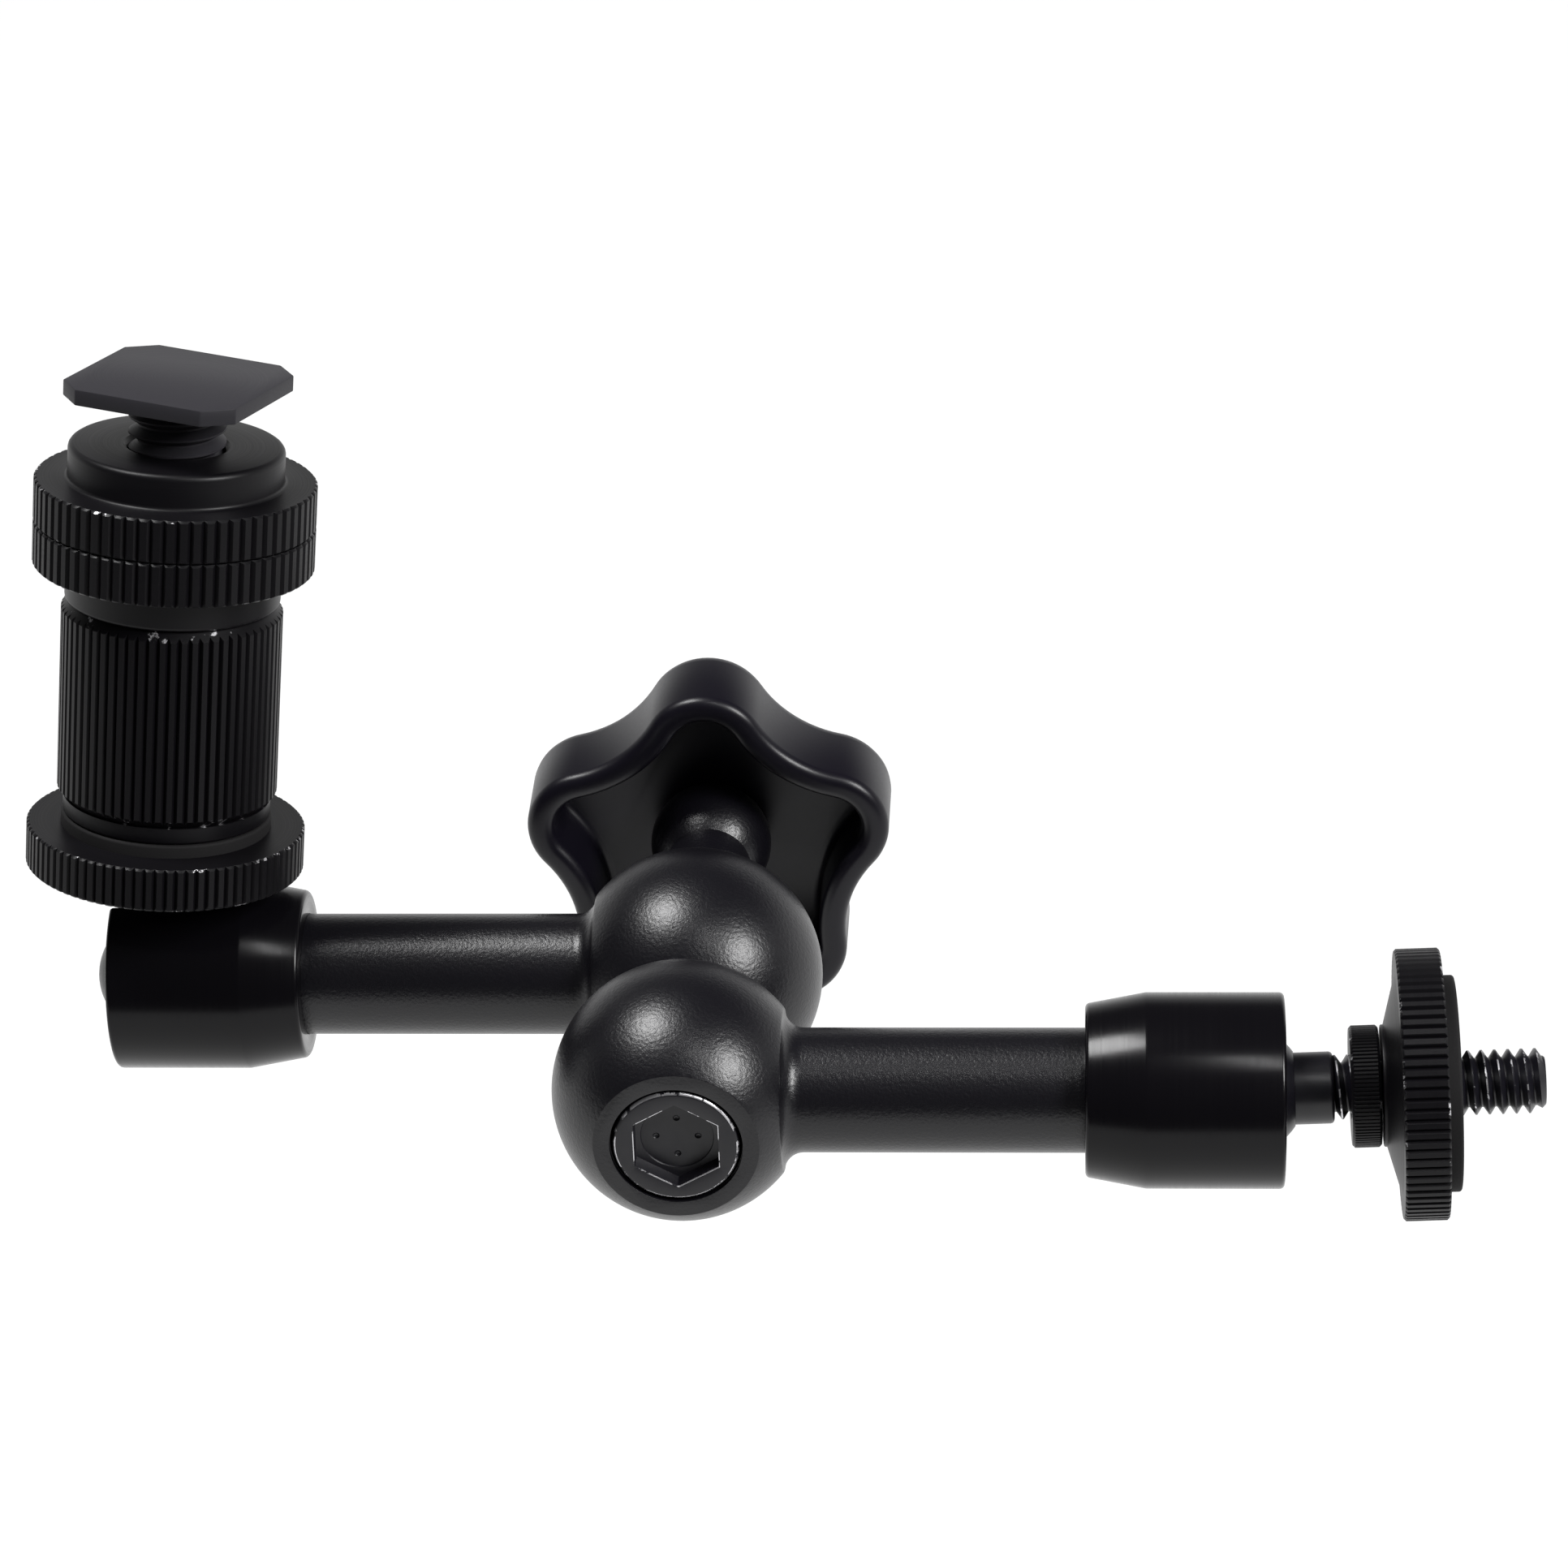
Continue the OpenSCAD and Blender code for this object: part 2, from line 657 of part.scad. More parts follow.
base_ball_stud();
base_ball();
base_jam_nut();
base_lock_disc();
base_pad();
front_ball_cup();
front_push_rod();
front_arm();
front_socket_cap();
draw_bolt();
friction_washer();
release_spring();
rear_arm();
rear_socket_cap();
rear_ball_cup();
rear_push_rod();
rear_wedge();
thrust_cone();
knob();
knob_insert();
tip_ball_stud();
tip_lock_disc();
tip_pad();
coupling_barrel();
lower_shoe_nut();
upper_shoe_nut();
shoe_foot();
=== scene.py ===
"""Articulating friction arm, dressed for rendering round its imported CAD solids.

Pieces are modelled in millimetres, each in a frame of its own axis, and placed in metres.
"""

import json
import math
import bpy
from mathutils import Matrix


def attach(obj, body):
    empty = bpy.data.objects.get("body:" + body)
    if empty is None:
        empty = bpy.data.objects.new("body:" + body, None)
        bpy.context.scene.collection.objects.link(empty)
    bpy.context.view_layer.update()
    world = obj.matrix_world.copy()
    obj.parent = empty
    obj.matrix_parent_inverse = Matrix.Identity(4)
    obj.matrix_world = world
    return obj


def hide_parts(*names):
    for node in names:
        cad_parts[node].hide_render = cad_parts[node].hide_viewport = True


bl_info = {
    "name": "Articulating friction arm",
    "version": (1, 0, 0),
    "blender": (4, 5, 0),
    "location": "3D View > Sidebar > Friction Arm",
    "description": "Models and finishes a two-piece friction arm on its CAD frame",
    "category": "Object",
}

import bmesh
import bpy
from bpy.props import FloatProperty, FloatVectorProperty, IntProperty, PointerProperty
from mathutils import Matrix, Vector

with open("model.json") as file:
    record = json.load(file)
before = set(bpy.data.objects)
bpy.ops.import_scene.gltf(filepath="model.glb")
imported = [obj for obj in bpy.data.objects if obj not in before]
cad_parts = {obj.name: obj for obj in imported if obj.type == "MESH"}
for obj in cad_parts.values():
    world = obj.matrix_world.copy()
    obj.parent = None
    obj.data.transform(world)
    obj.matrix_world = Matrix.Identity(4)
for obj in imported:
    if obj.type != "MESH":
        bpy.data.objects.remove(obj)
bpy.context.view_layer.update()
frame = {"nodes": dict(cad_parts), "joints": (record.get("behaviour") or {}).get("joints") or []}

MM = 0.001
TINY = 0.001
TURN_STEPS = 128


# Frames: millimetres, with Z along the axis that a piece was turned on


def axes(origin, z, x):
    """Frame with its origin in metres, Z along z and X as near to x as it can be."""
    z = Vector(z).normalized()
    y = z.cross(Vector(x)).normalized()
    turn = Matrix((y.cross(z), y, z)).transposed().to_4x4()
    return Matrix.Translation(origin) @ turn @ Matrix.Scale(MM, 4)


def span(node, place):
    """Lowest and highest station of a CAD node along a frame's Z, and its radius."""
    inward = place.inverted()
    points = [inward @ vert.co for vert in frame["nodes"][node].data.vertices]
    heights = [point.z for point in points]
    return min(heights), max(heights), max(math.hypot(point.x, point.y) for point in points)


def joint_vector(name, key):
    """A joint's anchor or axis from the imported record."""
    return Vector(next(joint[key] for joint in frame["joints"] if joint["name"] == name))


DOWN = Vector((0, 0, -1))
ARM = joint_vector("front_rod_push", "axis")
ELBOW_AXIS = joint_vector("elbow", "axis")
BASE_BALL = joint_vector("base_tilt", "pos_m")
TIP_BALL = joint_vector("tip_tilt", "pos_m")
TIP_AXIS = joint_vector("tip_disc_turn", "axis")
if TIP_AXIS.z < 0:
    TIP_AXIS.negate()
if ARM.x < 0:
    ARM.negate()
if ELBOW_AXIS.y < 0:
    ELBOW_AXIS.negate()
BASE_STACK = axes(BASE_BALL, (1, 0, 0), DOWN)
TIP_STACK = axes(TIP_BALL, TIP_AXIS, ARM)
ELBOW = axes(joint_vector("elbow", "pos_m"), ELBOW_AXIS, ARM)


# Settings


def length(name, description, millimetres):
    """A length that shows in scene units, with its default in millimetres."""
    return FloatProperty(
        name=name,
        description=description,
        default=millimetres * MM,
        min=0,
        precision=5,
        subtype="DISTANCE",
        unit="LENGTH",
    )


def grooves(name, description, number):
    """A count of the grooves round a rim."""
    return IntProperty(name=name, description=description, default=number, min=3)


def linear(text):
    """Linear RGB from an sRGB hex value."""
    channels = [int(text[i : i + 2], 16) / 255 for i in (1, 3, 5)]
    return tuple(c / 12.92 if c <= 0.04045 else ((c + 0.055) / 1.055) ** 2.4 for c in channels)


def colour(name, description, text):
    """A colour setting with its default as an sRGB hex value."""
    return FloatVectorProperty(
        name=name, description=description, default=linear(text), min=0, max=1, subtype="COLOR"
    )


class FRICTIONARM_PG_sizes(bpy.types.PropertyGroup):
    """Sizes that the CAD solids' boxes don't give."""

    tube_d: length("Tube", "Diameter of each arm's tube", 12)
    knuckle_d: length("Knuckle", "Diameter of the ball-shaped knuckles", 25.2)
    knuckle_flat: length("Knuckle flat", "From a knuckle's centre to its outer flat", 9.8)
    knuckle_pitch: length("Knuckle pitch", "Between the centres of the knuckles", 21)
    knuckle_blend: length("Knuckle blend", "Radius between a knuckle and its tube", 1.9)
    washer_t: length("Washer", "Thickness of the friction washer", 0.5)
    bore_r: length("Knuckle bore", "Radius of the bore for the draw bolt's head", 6.3)
    rod_bore_r: length("Rod bore", "Radius of the bore for the push rod", 2.85)
    cap_rear_d: length("Cap rear", "Diameter of a socket cap at its rear end", 16.6)
    cap_taper: length("Cap taper", "Length of the taper at the rear of a cap", 5.8)
    mouth_r: length("Cap mouth", "Radius of the mouth that holds the ball", 5)
    slot_w: length("Fold slot", "Width of the slot that the stud folds into", 7.7)
    neck_d: length("Neck", "Diameter of the plain neck under a ball", 6.9)
    neck_end: length("Neck end", "From a ball's centre to the end of its neck", 8.8)
    screw_d: length("Screw", "Outside diameter of the quarter inch thread", 6.2)
    screw_pitch: length("Screw pitch", "Twenty threads to the inch", 1.27)
    foot_stud_d: length("Foot stud", "Outside diameter of the foot's thread", 9.5)
    foot_pitch: length("Foot pitch", "Sixteen threads to the inch", 1.5875)
    hub_d: length("Hub", "Diameter of a lock disc's hub", 11.7)
    rim_t: length("Rim", "Thickness of a grooved rim", 4.3)
    pad_soft: length("Pad edge", "Radius of a rubber pad's edge", 0.3)
    barrel_boss: length("Barrel boss", "Length of the plain boss under the barrel", 1.6)
    nut_boss_d: length("Nut boss", "Diameter of the boss on a shoe nut", 21)
    nut_boss_h: length("Nut boss height", "Height of the boss on a shoe nut", 3.5)
    foot_t: length("Foot plate", "Thickness of the shoe foot's plate", 1.6)
    foot_side: length("Foot side", "Side of the square shoe foot", 18.2)
    foot_corner: length("Foot corner", "Cut across each corner of the foot", 3.6)
    foot_turn: FloatProperty(
        name="Foot turn", description="Turn of the shoe foot about its screw",
        default=math.radians(-17), subtype="ANGLE", unit="ROTATION",
    )
    bolt_head_d: length("Bolt head", "Diameter of the draw bolt's head", 12.1)
    hex_af: length("Hexagon", "Across the flats of the bolt's socket", 8)
    hex_depth: length("Hexagon depth", "Depth of the bolt's socket", 1.7)
    thrust_ball_r: length("Thrust ball", "Radius of the ball on the thrust piece", 6.2)
    knob_valley_d: length("Knob valleys", "Diameter of the knob across its valleys", 30.4)
    lobe_r: length("Lobe", "Radius of each lobe's round end", 6.4)
    knob_depth: length("Knob depth", "From the knob's rim to its back", 11)
    knob_hollow: length("Knob hollow", "Depth of the hollow that faces the arms", 8)
    knob_wall: length("Knob wall", "Wall round the knob's hollow", 2.8)
    groove_depth: length("Groove depth", "Depth of the grooves on discs and nuts", 0.35)
    lobes: IntProperty(name="Lobes", description="Lobes on the knob", default=5, min=3)
    base_grooves: grooves("Base grooves", "Grooves round the base disc", 81)
    tip_grooves: grooves("Tip grooves", "Grooves round the tip disc", 84)
    nut_grooves: grooves("Nut grooves", "Grooves round each shoe nut", 67)
    barrel_grooves: grooves("Barrel grooves", "Grooves round the barrel", 65)
    jam_grooves: grooves("Jam nut grooves", "Fine grooves on the jam nut", 90)


class FRICTIONARM_PG_finishes(bpy.types.PropertyGroup):
    """Colours and wear of the finishes."""

    powder: colour("Powder coat", "Black powder coat on the arms", "#0b0a0f")
    anodised: colour("Anodised", "Black anodised aluminium", "#09080b")
    # Painted light: the plate's colour is much lighter than the other anodised parts, standing in
    # for the light its upward face catches, over the coat's own dark tone
    plate: colour("Plate", "Matt black coat on the shoe plate, lightened as painted light for its upward face", "#29282c")
    oxide: colour("Black oxide", "Black oxide on steel", "#100f15")
    plastic: colour("Plastic", "Moulded black plastic", "#0c0a12")
    rubber: colour("Rubber", "Black rubber pads", "#141314")
    bare: colour("Bare metal", "Metal where the finish has worn through", "#d4d3d6")
    brass: colour("Brass", "Turned brass", "#b08d4c")
    wear: FloatProperty(
        name="Wear", description="Share of each sharp edge that is worn bright",
        default=0.3, min=0, max=1, subtype="FACTOR",
    )


def size(name):
    """A length from the settings, in millimetres."""
    return getattr(bpy.context.scene.friction_arm_sizes, name) / MM


def setting(name):
    """A count or an angle from the settings."""
    return getattr(bpy.context.scene.friction_arm_sizes, name)


# Modelling


def turned(outline, steps=TURN_STEPS, segments=4):
    """A body of revolution about Z from (radius, height) points, each with its rounding.

    An outline that starts off the axis is closed into a ring.
    """
    bm = bmesh.new()
    verts = [bm.verts.new((point[0], 0, point[1])) for point in outline]
    for pair in zip(verts, verts[1:]):
        bm.edges.new(pair)
    if outline[0][0] > 0:
        bm.edges.new((verts[-1], verts[0]))
    for vert, point in zip(verts, outline):
        if len(point) > 2:
            bmesh.ops.bevel(
                bm, geom=[vert], offset=point[2], offset_type="OFFSET", segments=segments,
                profile=0.5, affect="VERTICES", material=-1,
            )
    bmesh.ops.spin(
        bm, geom=bm.verts[:] + bm.edges[:], cent=(0, 0, 0), axis=(0, 0, 1), angle=math.tau,
        steps=steps, use_merge=True,
    )
    return closed(bm)


def closed(bm):
    """Merges doubles, turns the faces outwards and makes sure that no edge is open."""
    bmesh.ops.remove_doubles(bm, verts=bm.verts, dist=TINY)
    bmesh.ops.recalc_face_normals(bm, faces=bm.faces)
    if any(len(edge.link_faces) != 2 for edge in bm.edges):
        raise RuntimeError("a turned or cut mesh isn't closed")
    return bm


def arc(centre, radius, start, stop, steps):
    """Outline points along an arc, by angles in degrees from the radius towards Z."""
    turns = [math.radians(start + (stop - start) * i / steps) for i in range(steps + 1)]
    return [(centre[0] + radius * math.cos(a), centre[1] + radius * math.sin(a)) for a in turns]


def press_grooves(bm, radius, low, high, number, depth, chamfer):
    """Presses every fourth column of a spun rim into a V groove that runs out at both edges."""
    for vert in bm.verts:
        column = round(math.atan2(vert.co.y, vert.co.x) * 4 * number / math.tau) % 4
        reach = math.hypot(vert.co.x, vert.co.y)
        inside = low - TINY < vert.co.z < high + TINY
        if column or not inside or reach < radius - depth:
            continue
        if reach > radius - TINY:
            rise = min(depth, chamfer)
            vert.co.z += rise if vert.co.z > (low + high) / 2 else -rise
        vert.co.x *= (radius - depth) / reach
        vert.co.y *= (radius - depth) / reach
    return closed(bm)


def rim_points(radius, low, high, chamfer):
    """Outline of a grooved rim with both edges chamfered, from the lower face up."""
    return [
        (radius - chamfer, low), (radius, low + chamfer),
        (radius, high - chamfer), (radius - chamfer, high),
    ]


def threaded(radius, pitch, low, high, point):
    """A right-hand V thread about Z with a pointed upper end: one helical skin, cut and capped."""
    steps, depth, flat = 40, 0.58 * pitch, 0.06 * pitch
    turns = math.ceil((high - low) / pitch) + 3
    start = low - 1.5 * pitch
    bm = bmesh.new()
    outline = [
        (radius - depth, flat), (radius, pitch / 2 - flat), (radius, pitch / 2 + flat),
        (radius - depth, pitch - flat), (radius - depth, pitch + flat),
    ]
    verts = [bm.verts.new((r, 0, start + z)) for r, z in outline]
    for pair in zip(verts, verts[1:]):
        bm.edges.new(pair)
    bmesh.ops.spin(
        bm, geom=bm.verts[:] + bm.edges[:], cent=(0, 0, 0), axis=(0, 0, 1),
        dvec=(0, 0, pitch / steps), angle=math.tau * turns, steps=steps * turns,
    )
    bmesh.ops.remove_doubles(bm, verts=bm.verts, dist=5 * TINY)
    for vert in bm.verts:
        reach = math.hypot(vert.co.x, vert.co.y)
        limit = radius - max(0, vert.co.z - (high - point))
        if reach > limit:
            vert.co.x *= limit / reach
            vert.co.y *= limit / reach
    for height, normal in ((low, (0, 0, -1)), (high, (0, 0, 1))):
        cut_flat(bm, (0, 0, height), normal)
    return closed(bm)


def cut_flat(bm, point, normal):
    """Cuts away what lies beyond a plane and closes the cut with one face."""
    found = bmesh.ops.bisect_plane(
        bm, geom=bm.verts[:] + bm.edges[:] + bm.faces[:], dist=TINY, plane_co=point,
        plane_no=normal, clear_outer=True,
    )
    rim = [part for part in found["geom_cut"] if isinstance(part, bmesh.types.BMEdge)]
    bmesh.ops.edgeloop_fill(bm, edges=rim)


def join(bm, other):
    """Adds another closed mesh to a piece."""
    mesh = bpy.data.meshes.new("joined")
    other.to_mesh(mesh)
    other.free()
    bm.from_mesh(mesh)
    bpy.data.meshes.remove(mesh)
    return bm


def carve(bm, *cutters):
    """Cuts closed shapes out of a closed mesh."""
    stock, *tools = [bench_object(part) for part in (bm, *cutters)]
    for tool in tools:
        modifier = stock.modifiers.new("carve", "BOOLEAN")
        modifier.operation = "DIFFERENCE"
        modifier.solver = "EXACT"
        modifier.object = tool
    result = bmesh.new()
    result.from_object(stock, bpy.context.evaluated_depsgraph_get())
    for part in (stock, *tools):
        mesh = part.data
        bpy.data.objects.remove(part)
        bpy.data.meshes.remove(mesh)
    bmesh.ops.dissolve_degenerate(result, edges=result.edges, dist=5 * TINY)
    return closed(result)


def bench_object(bm):
    """A working object for a modifier, from a mesh that it takes over."""
    mesh = bpy.data.meshes.new("bench")
    bm.to_mesh(mesh)
    bm.free()
    part = bpy.data.objects.new("bench", mesh)
    bpy.context.scene.collection.objects.link(part)
    return part


def soften(bm, radius, segments=2, angle=35, where=lambda edge: True):
    """Rounds the sharp edges of a closed mesh, or those that pass a test."""
    sharp = [
        edge for edge in bm.edges
        if edge.calc_face_angle(0) > math.radians(angle) and where(edge)
    ]
    bmesh.ops.bevel(
        bm, geom=sharp, offset=radius, offset_type="OFFSET", segments=segments, profile=0.5,
        affect="EDGES", clamp_overlap=True, material=-1,
    )
    return closed(bm)


def mark_wear(bm, *edges):
    """Marks the faces along the edges where a finish wears through first.

    Each edge is (least radius, greatest radius, lowest, highest) about Z.
    """
    layer = bm.faces.layers.float.new("edge_wear")
    for face in bm.faces:
        middle = face.calc_center_median()
        reach = math.hypot(middle.x, middle.y)
        if any(near < reach < far and low < middle.z < high for near, far, low, high in edges):
            face[layer] = 1


def make_piece(name, bm, place, body, node, material, sharp=28):
    for face in bm.faces:
        face.smooth = True
    for edge in bm.edges:
        edge.smooth = edge.calc_face_angle(0) < math.radians(sharp)
    bmesh.ops.transform(bm, matrix=place, verts=bm.verts)
    mesh = bpy.data.meshes.new(name)
    bm.to_mesh(mesh)
    bm.free()
    mesh.materials.append(material)
    piece = bpy.data.objects.new(name, mesh)
    bpy.context.scene.collection.objects.link(piece)
    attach(piece, body)
    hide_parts(node)
    return piece


# Materials


def add_node(tree, kind, settings=None, inputs=None):
    """Adds a node, sets its options, and sets or links its inputs by name or number."""
    node = tree.nodes.new(kind)
    for key, value in (settings or {}).items():
        setattr(node, key, value)
    for key, value in (inputs or {}).items():
        if isinstance(value, bpy.types.NodeSocket):
            tree.links.new(value, node.inputs[key])
        else:
            node.inputs[key].default_value = value
    return node


def start_material(name, **inputs):
    """A material with a Principled shader set as given, and its tree and shader."""
    material = bpy.data.materials.get(name)
    if material:
        bpy.data.materials.remove(material)
    material = bpy.data.materials.new(name)
    material.use_nodes = True
    tree = material.node_tree
    shader = tree.nodes["Principled BSDF"]
    for key, value in inputs.items():
        shader.inputs[key.replace("_", " ")].default_value = value
    return material, tree, shader


def finish_colour(name):
    """A colour from the settings as RGBA."""
    return (*getattr(bpy.context.scene.friction_arm_finishes, name), 1)


def local_position(tree, place):
    """Millimetre position in a piece's own frame."""
    move, turn, grow = place.inverted().decompose()
    coordinates = add_node(tree, "ShaderNodeTexCoord")
    mapping = add_node(tree, "ShaderNodeMapping", inputs={
        "Vector": coordinates.outputs["Object"], "Location": move,
        "Rotation": turn.to_euler(), "Scale": grow,
    })
    return mapping.outputs["Vector"]


def wear_mask(tree, position, amount):
    """Ragged bright strokes, some 3 mm long, on the faces that mark_wear marked."""
    edges = add_node(tree, "ShaderNodeAttribute", {"attribute_name": "edge_wear"})
    patches = add_node(tree, "ShaderNodeTexNoise", inputs={
        "Vector": position, "Scale": 1 / 3, "Detail": 6, "Roughness": 0.7,
    })
    edge = 0.5 + (0.5 - amount) * 0.45
    chosen = add_node(tree, "ShaderNodeMapRange", inputs={
        "Value": patches.outputs["Fac"], "From Min": edge, "From Max": edge + 0.04,
    })
    mask = add_node(tree, "ShaderNodeMath", {"operation": "MULTIPLY"}, {
        0: edges.outputs["Fac"], 1: chosen.outputs["Result"],
    })
    return mask.outputs["Value"]


def worn_through(tree, shader, mask, coat, bare, rough):
    """Shows bare metal where the mask is 1."""
    tint = add_node(tree, "ShaderNodeMix", {"data_type": "RGBA"}, {0: mask, 6: coat, 7: bare})
    tree.links.new(tint.outputs[2], shader.inputs["Base Color"])
    tree.links.new(mask, shader.inputs["Metallic"])
    tree.links.new(rough, shader.inputs["Roughness"])


def lathe_lines(tree, position, spacing):
    """Fine rings left by turning: noise that varies only with radius and height."""
    parts = add_node(tree, "ShaderNodeSeparateXYZ", inputs={"Vector": position})
    across = add_node(tree, "ShaderNodeCombineXYZ", inputs={
        "X": parts.outputs["X"], "Y": parts.outputs["Y"],
    })
    radius = add_node(tree, "ShaderNodeVectorMath", {"operation": "LENGTH"}, {
        0: across.outputs["Vector"],
    })
    profile = add_node(tree, "ShaderNodeCombineXYZ", inputs={
        "X": radius.outputs["Value"], "Y": parts.outputs["Z"],
    })
    return add_node(tree, "ShaderNodeTexNoise", {"noise_dimensions": "2D"}, {
        "Vector": profile.outputs["Vector"], "Scale": 1 / spacing, "Detail": 2,
    }).outputs["Fac"]


def powder_coat(name, place):
    """Black powder coat on castings: a fine orange-peel grain that breaks up each highlight."""
    material, tree, shader = start_material(name, Specular_IOR_Level=0.45)
    position = local_position(tree, place)
    # The real grain is about 0.1 mm; it is drawn at 0.35 mm so that a render shows it
    grain = add_node(tree, "ShaderNodeTexNoise", inputs={
        "Vector": position, "Scale": 1 / 0.35, "Detail": 3, "Roughness": 0.6,
    })
    bump = add_node(tree, "ShaderNodeBump", inputs={
        "Strength": 0.8, "Distance": 0.05 * MM, "Height": grain.outputs["Fac"],
    })
    tree.links.new(bump.outputs["Normal"], shader.inputs["Normal"])
    rough = add_node(tree, "ShaderNodeMapRange", inputs={
        "Value": grain.outputs["Fac"], "To Min": 0.28, "To Max": 0.36,
    })
    tree.links.new(rough.outputs["Result"], shader.inputs["Roughness"])
    shader.inputs["Base Color"].default_value = finish_colour("powder")
    return material


def anodised(name, place, roughness=0.4, wear=1.0, line_depth=0.004, coat="anodised"):
    """Satin black anodised aluminium, turned: soft lathe rings, and bright nicks on its edges."""
    material, tree, shader = start_material(name, Specular_IOR_Level=0.2)
    position = local_position(tree, place)
    # Feed marks of a finishing cut, 0.15 mm apart
    lines = lathe_lines(tree, position, 0.15)
    bump = add_node(tree, "ShaderNodeBump", inputs={
        "Strength": 0.3, "Distance": line_depth * MM, "Height": lines,
    })
    tree.links.new(bump.outputs["Normal"], shader.inputs["Normal"])
    rough = add_node(tree, "ShaderNodeMapRange", inputs={
        "Value": lines, "To Min": roughness - 0.04, "To Max": roughness + 0.06,
    })
    amount = bpy.context.scene.friction_arm_finishes.wear * wear
    mask = wear_mask(tree, position, amount)
    worn_through(
        tree, shader, mask, finish_colour(coat), finish_colour("bare"), rough.outputs["Result"]
    )
    return material


def black_oxide(name, place, roughness=0.34, wear=1.0):
    """Black oxide on turned steel: a thin dark skin, smudged, that rubs bright on its edges."""
    material, tree, shader = start_material(name, Specular_IOR_Level=0.45)
    position = local_position(tree, place)
    smudge = add_node(tree, "ShaderNodeTexNoise", inputs={
        "Vector": position, "Scale": 1 / 1.5, "Detail": 5, "Roughness": 0.6,
    })
    rough = add_node(tree, "ShaderNodeMapRange", inputs={
        "Value": smudge.outputs["Fac"], "To Min": roughness - 0.08, "To Max": roughness + 0.1,
    })
    amount = bpy.context.scene.friction_arm_finishes.wear * wear
    mask = wear_mask(tree, position, amount)
    worn_through(
        tree, shader, mask, finish_colour("oxide"), finish_colour("bare"), rough.outputs["Result"]
    )
    return material


def moulded_plastic(name, place):
    """Injection-moulded nylon: even black with a fine spark-eroded grain and a soft shine."""
    material, tree, shader = start_material(name, Specular_IOR_Level=0.3)
    position = local_position(tree, place)
    # Mould grain of about 0.3 mm
    grain = add_node(tree, "ShaderNodeTexNoise", inputs={
        "Vector": position, "Scale": 1 / 0.3, "Detail": 2,
    })
    bump = add_node(tree, "ShaderNodeBump", inputs={
        "Strength": 0.15, "Distance": 0.01 * MM, "Height": grain.outputs["Fac"],
    })
    tree.links.new(bump.outputs["Normal"], shader.inputs["Normal"])
    rough = add_node(tree, "ShaderNodeMapRange", inputs={
        "Value": grain.outputs["Fac"], "To Min": 0.3, "To Max": 0.38,
    })
    tree.links.new(rough.outputs["Result"], shader.inputs["Roughness"])
    shader.inputs["Base Color"].default_value = finish_colour("plastic")
    return material


def moulded_rubber(name, place):
    """Moulded rubber: matt, with a fine grain and no sharp highlight."""
    material, tree, shader = start_material(name, Specular_IOR_Level=0.25)
    position = local_position(tree, place)
    # Grain of the mould, about 0.2 mm
    grain = add_node(tree, "ShaderNodeTexNoise", inputs={
        "Vector": position, "Scale": 1 / 0.2, "Detail": 3,
    })
    bump = add_node(tree, "ShaderNodeBump", inputs={
        "Strength": 0.4, "Distance": 0.02 * MM, "Height": grain.outputs["Fac"],
    })
    tree.links.new(bump.outputs["Normal"], shader.inputs["Normal"])
    rough = add_node(tree, "ShaderNodeMapRange", inputs={
        "Value": grain.outputs["Fac"], "To Min": 0.7, "To Max": 0.85,
    })
    tree.links.new(rough.outputs["Result"], shader.inputs["Roughness"])
    shader.inputs["Base Color"].default_value = finish_colour("rubber")
    return material


def turned_metal(name, place, tint, roughness):
    """Bare turned metal: bright, with fine lathe rings."""
    material, tree, shader = start_material(name, Metallic=1)
    # Feed marks 0.2 mm apart
    lines = lathe_lines(tree, local_position(tree, place), 0.2)
    rough = add_node(tree, "ShaderNodeMapRange", inputs={
        "Value": lines, "To Min": roughness - 0.05, "To Max": roughness + 0.1,
    })
    tree.links.new(rough.outputs["Result"], shader.inputs["Roughness"])
    shader.inputs["Base Color"].default_value = finish_colour(tint)
    return material


# Pieces


RIM_CHAMFER = 0.2


def ball_skin(radius, reach):
    """Outline of a ball from its lowest point up to where it is as wide as the reach."""
    skin = arc((0, 0), radius, -90, math.degrees(math.acos(reach / radius)), 28)
    skin[0] = (0, -radius)
    return skin


def stud_post(foot, high, point):
    """Neck and threaded shank of a ball stud, on the outline of its foot."""
    end, soft = size("neck_end"), 0.4
    radius = size("screw_d") / 2
    bm = turned(foot + [(size("neck_d") / 2, end, soft), (0, end)], steps=64)
    bm = join(bm, threaded(radius, size("screw_pitch"), end - soft, high, point))
    mark_wear(bm, (radius - 0.12, radius + 0.1, end, high))
    return bm


def grooved_disc(radius, low, high, number, depth, chamfer, inner):
    """A ring with a grooved rim; inner is the rest of its outline, from the rim's top down."""
    bm = turned(rim_points(radius, low, high, chamfer) + inner, steps=4 * number)
    bm = press_grooves(bm, radius, low, high, number, depth, chamfer)
    near, far = radius - chamfer, radius
    mark_wear(bm, (near, far, low, low + chamfer), (near, far, high - chamfer, high))
    return bm


def lock_disc(low, high, radius, number):
    """A lock disc: hub, cone and grooved rim, bored for the screw."""
    bore = size("screw_d") / 2
    rim = high - size("rim_t")
    hub, hub_h, shoulder = size("hub_d") / 2, 0.3, 2.4
    inner = [
        (bore, high), (bore, low), (hub, low, 0.15), (hub, low + hub_h),
        (radius - shoulder, rim, 0.2),
    ]
    return grooved_disc(radius, rim, high, number, size("groove_depth"), RIM_CHAMFER, inner)


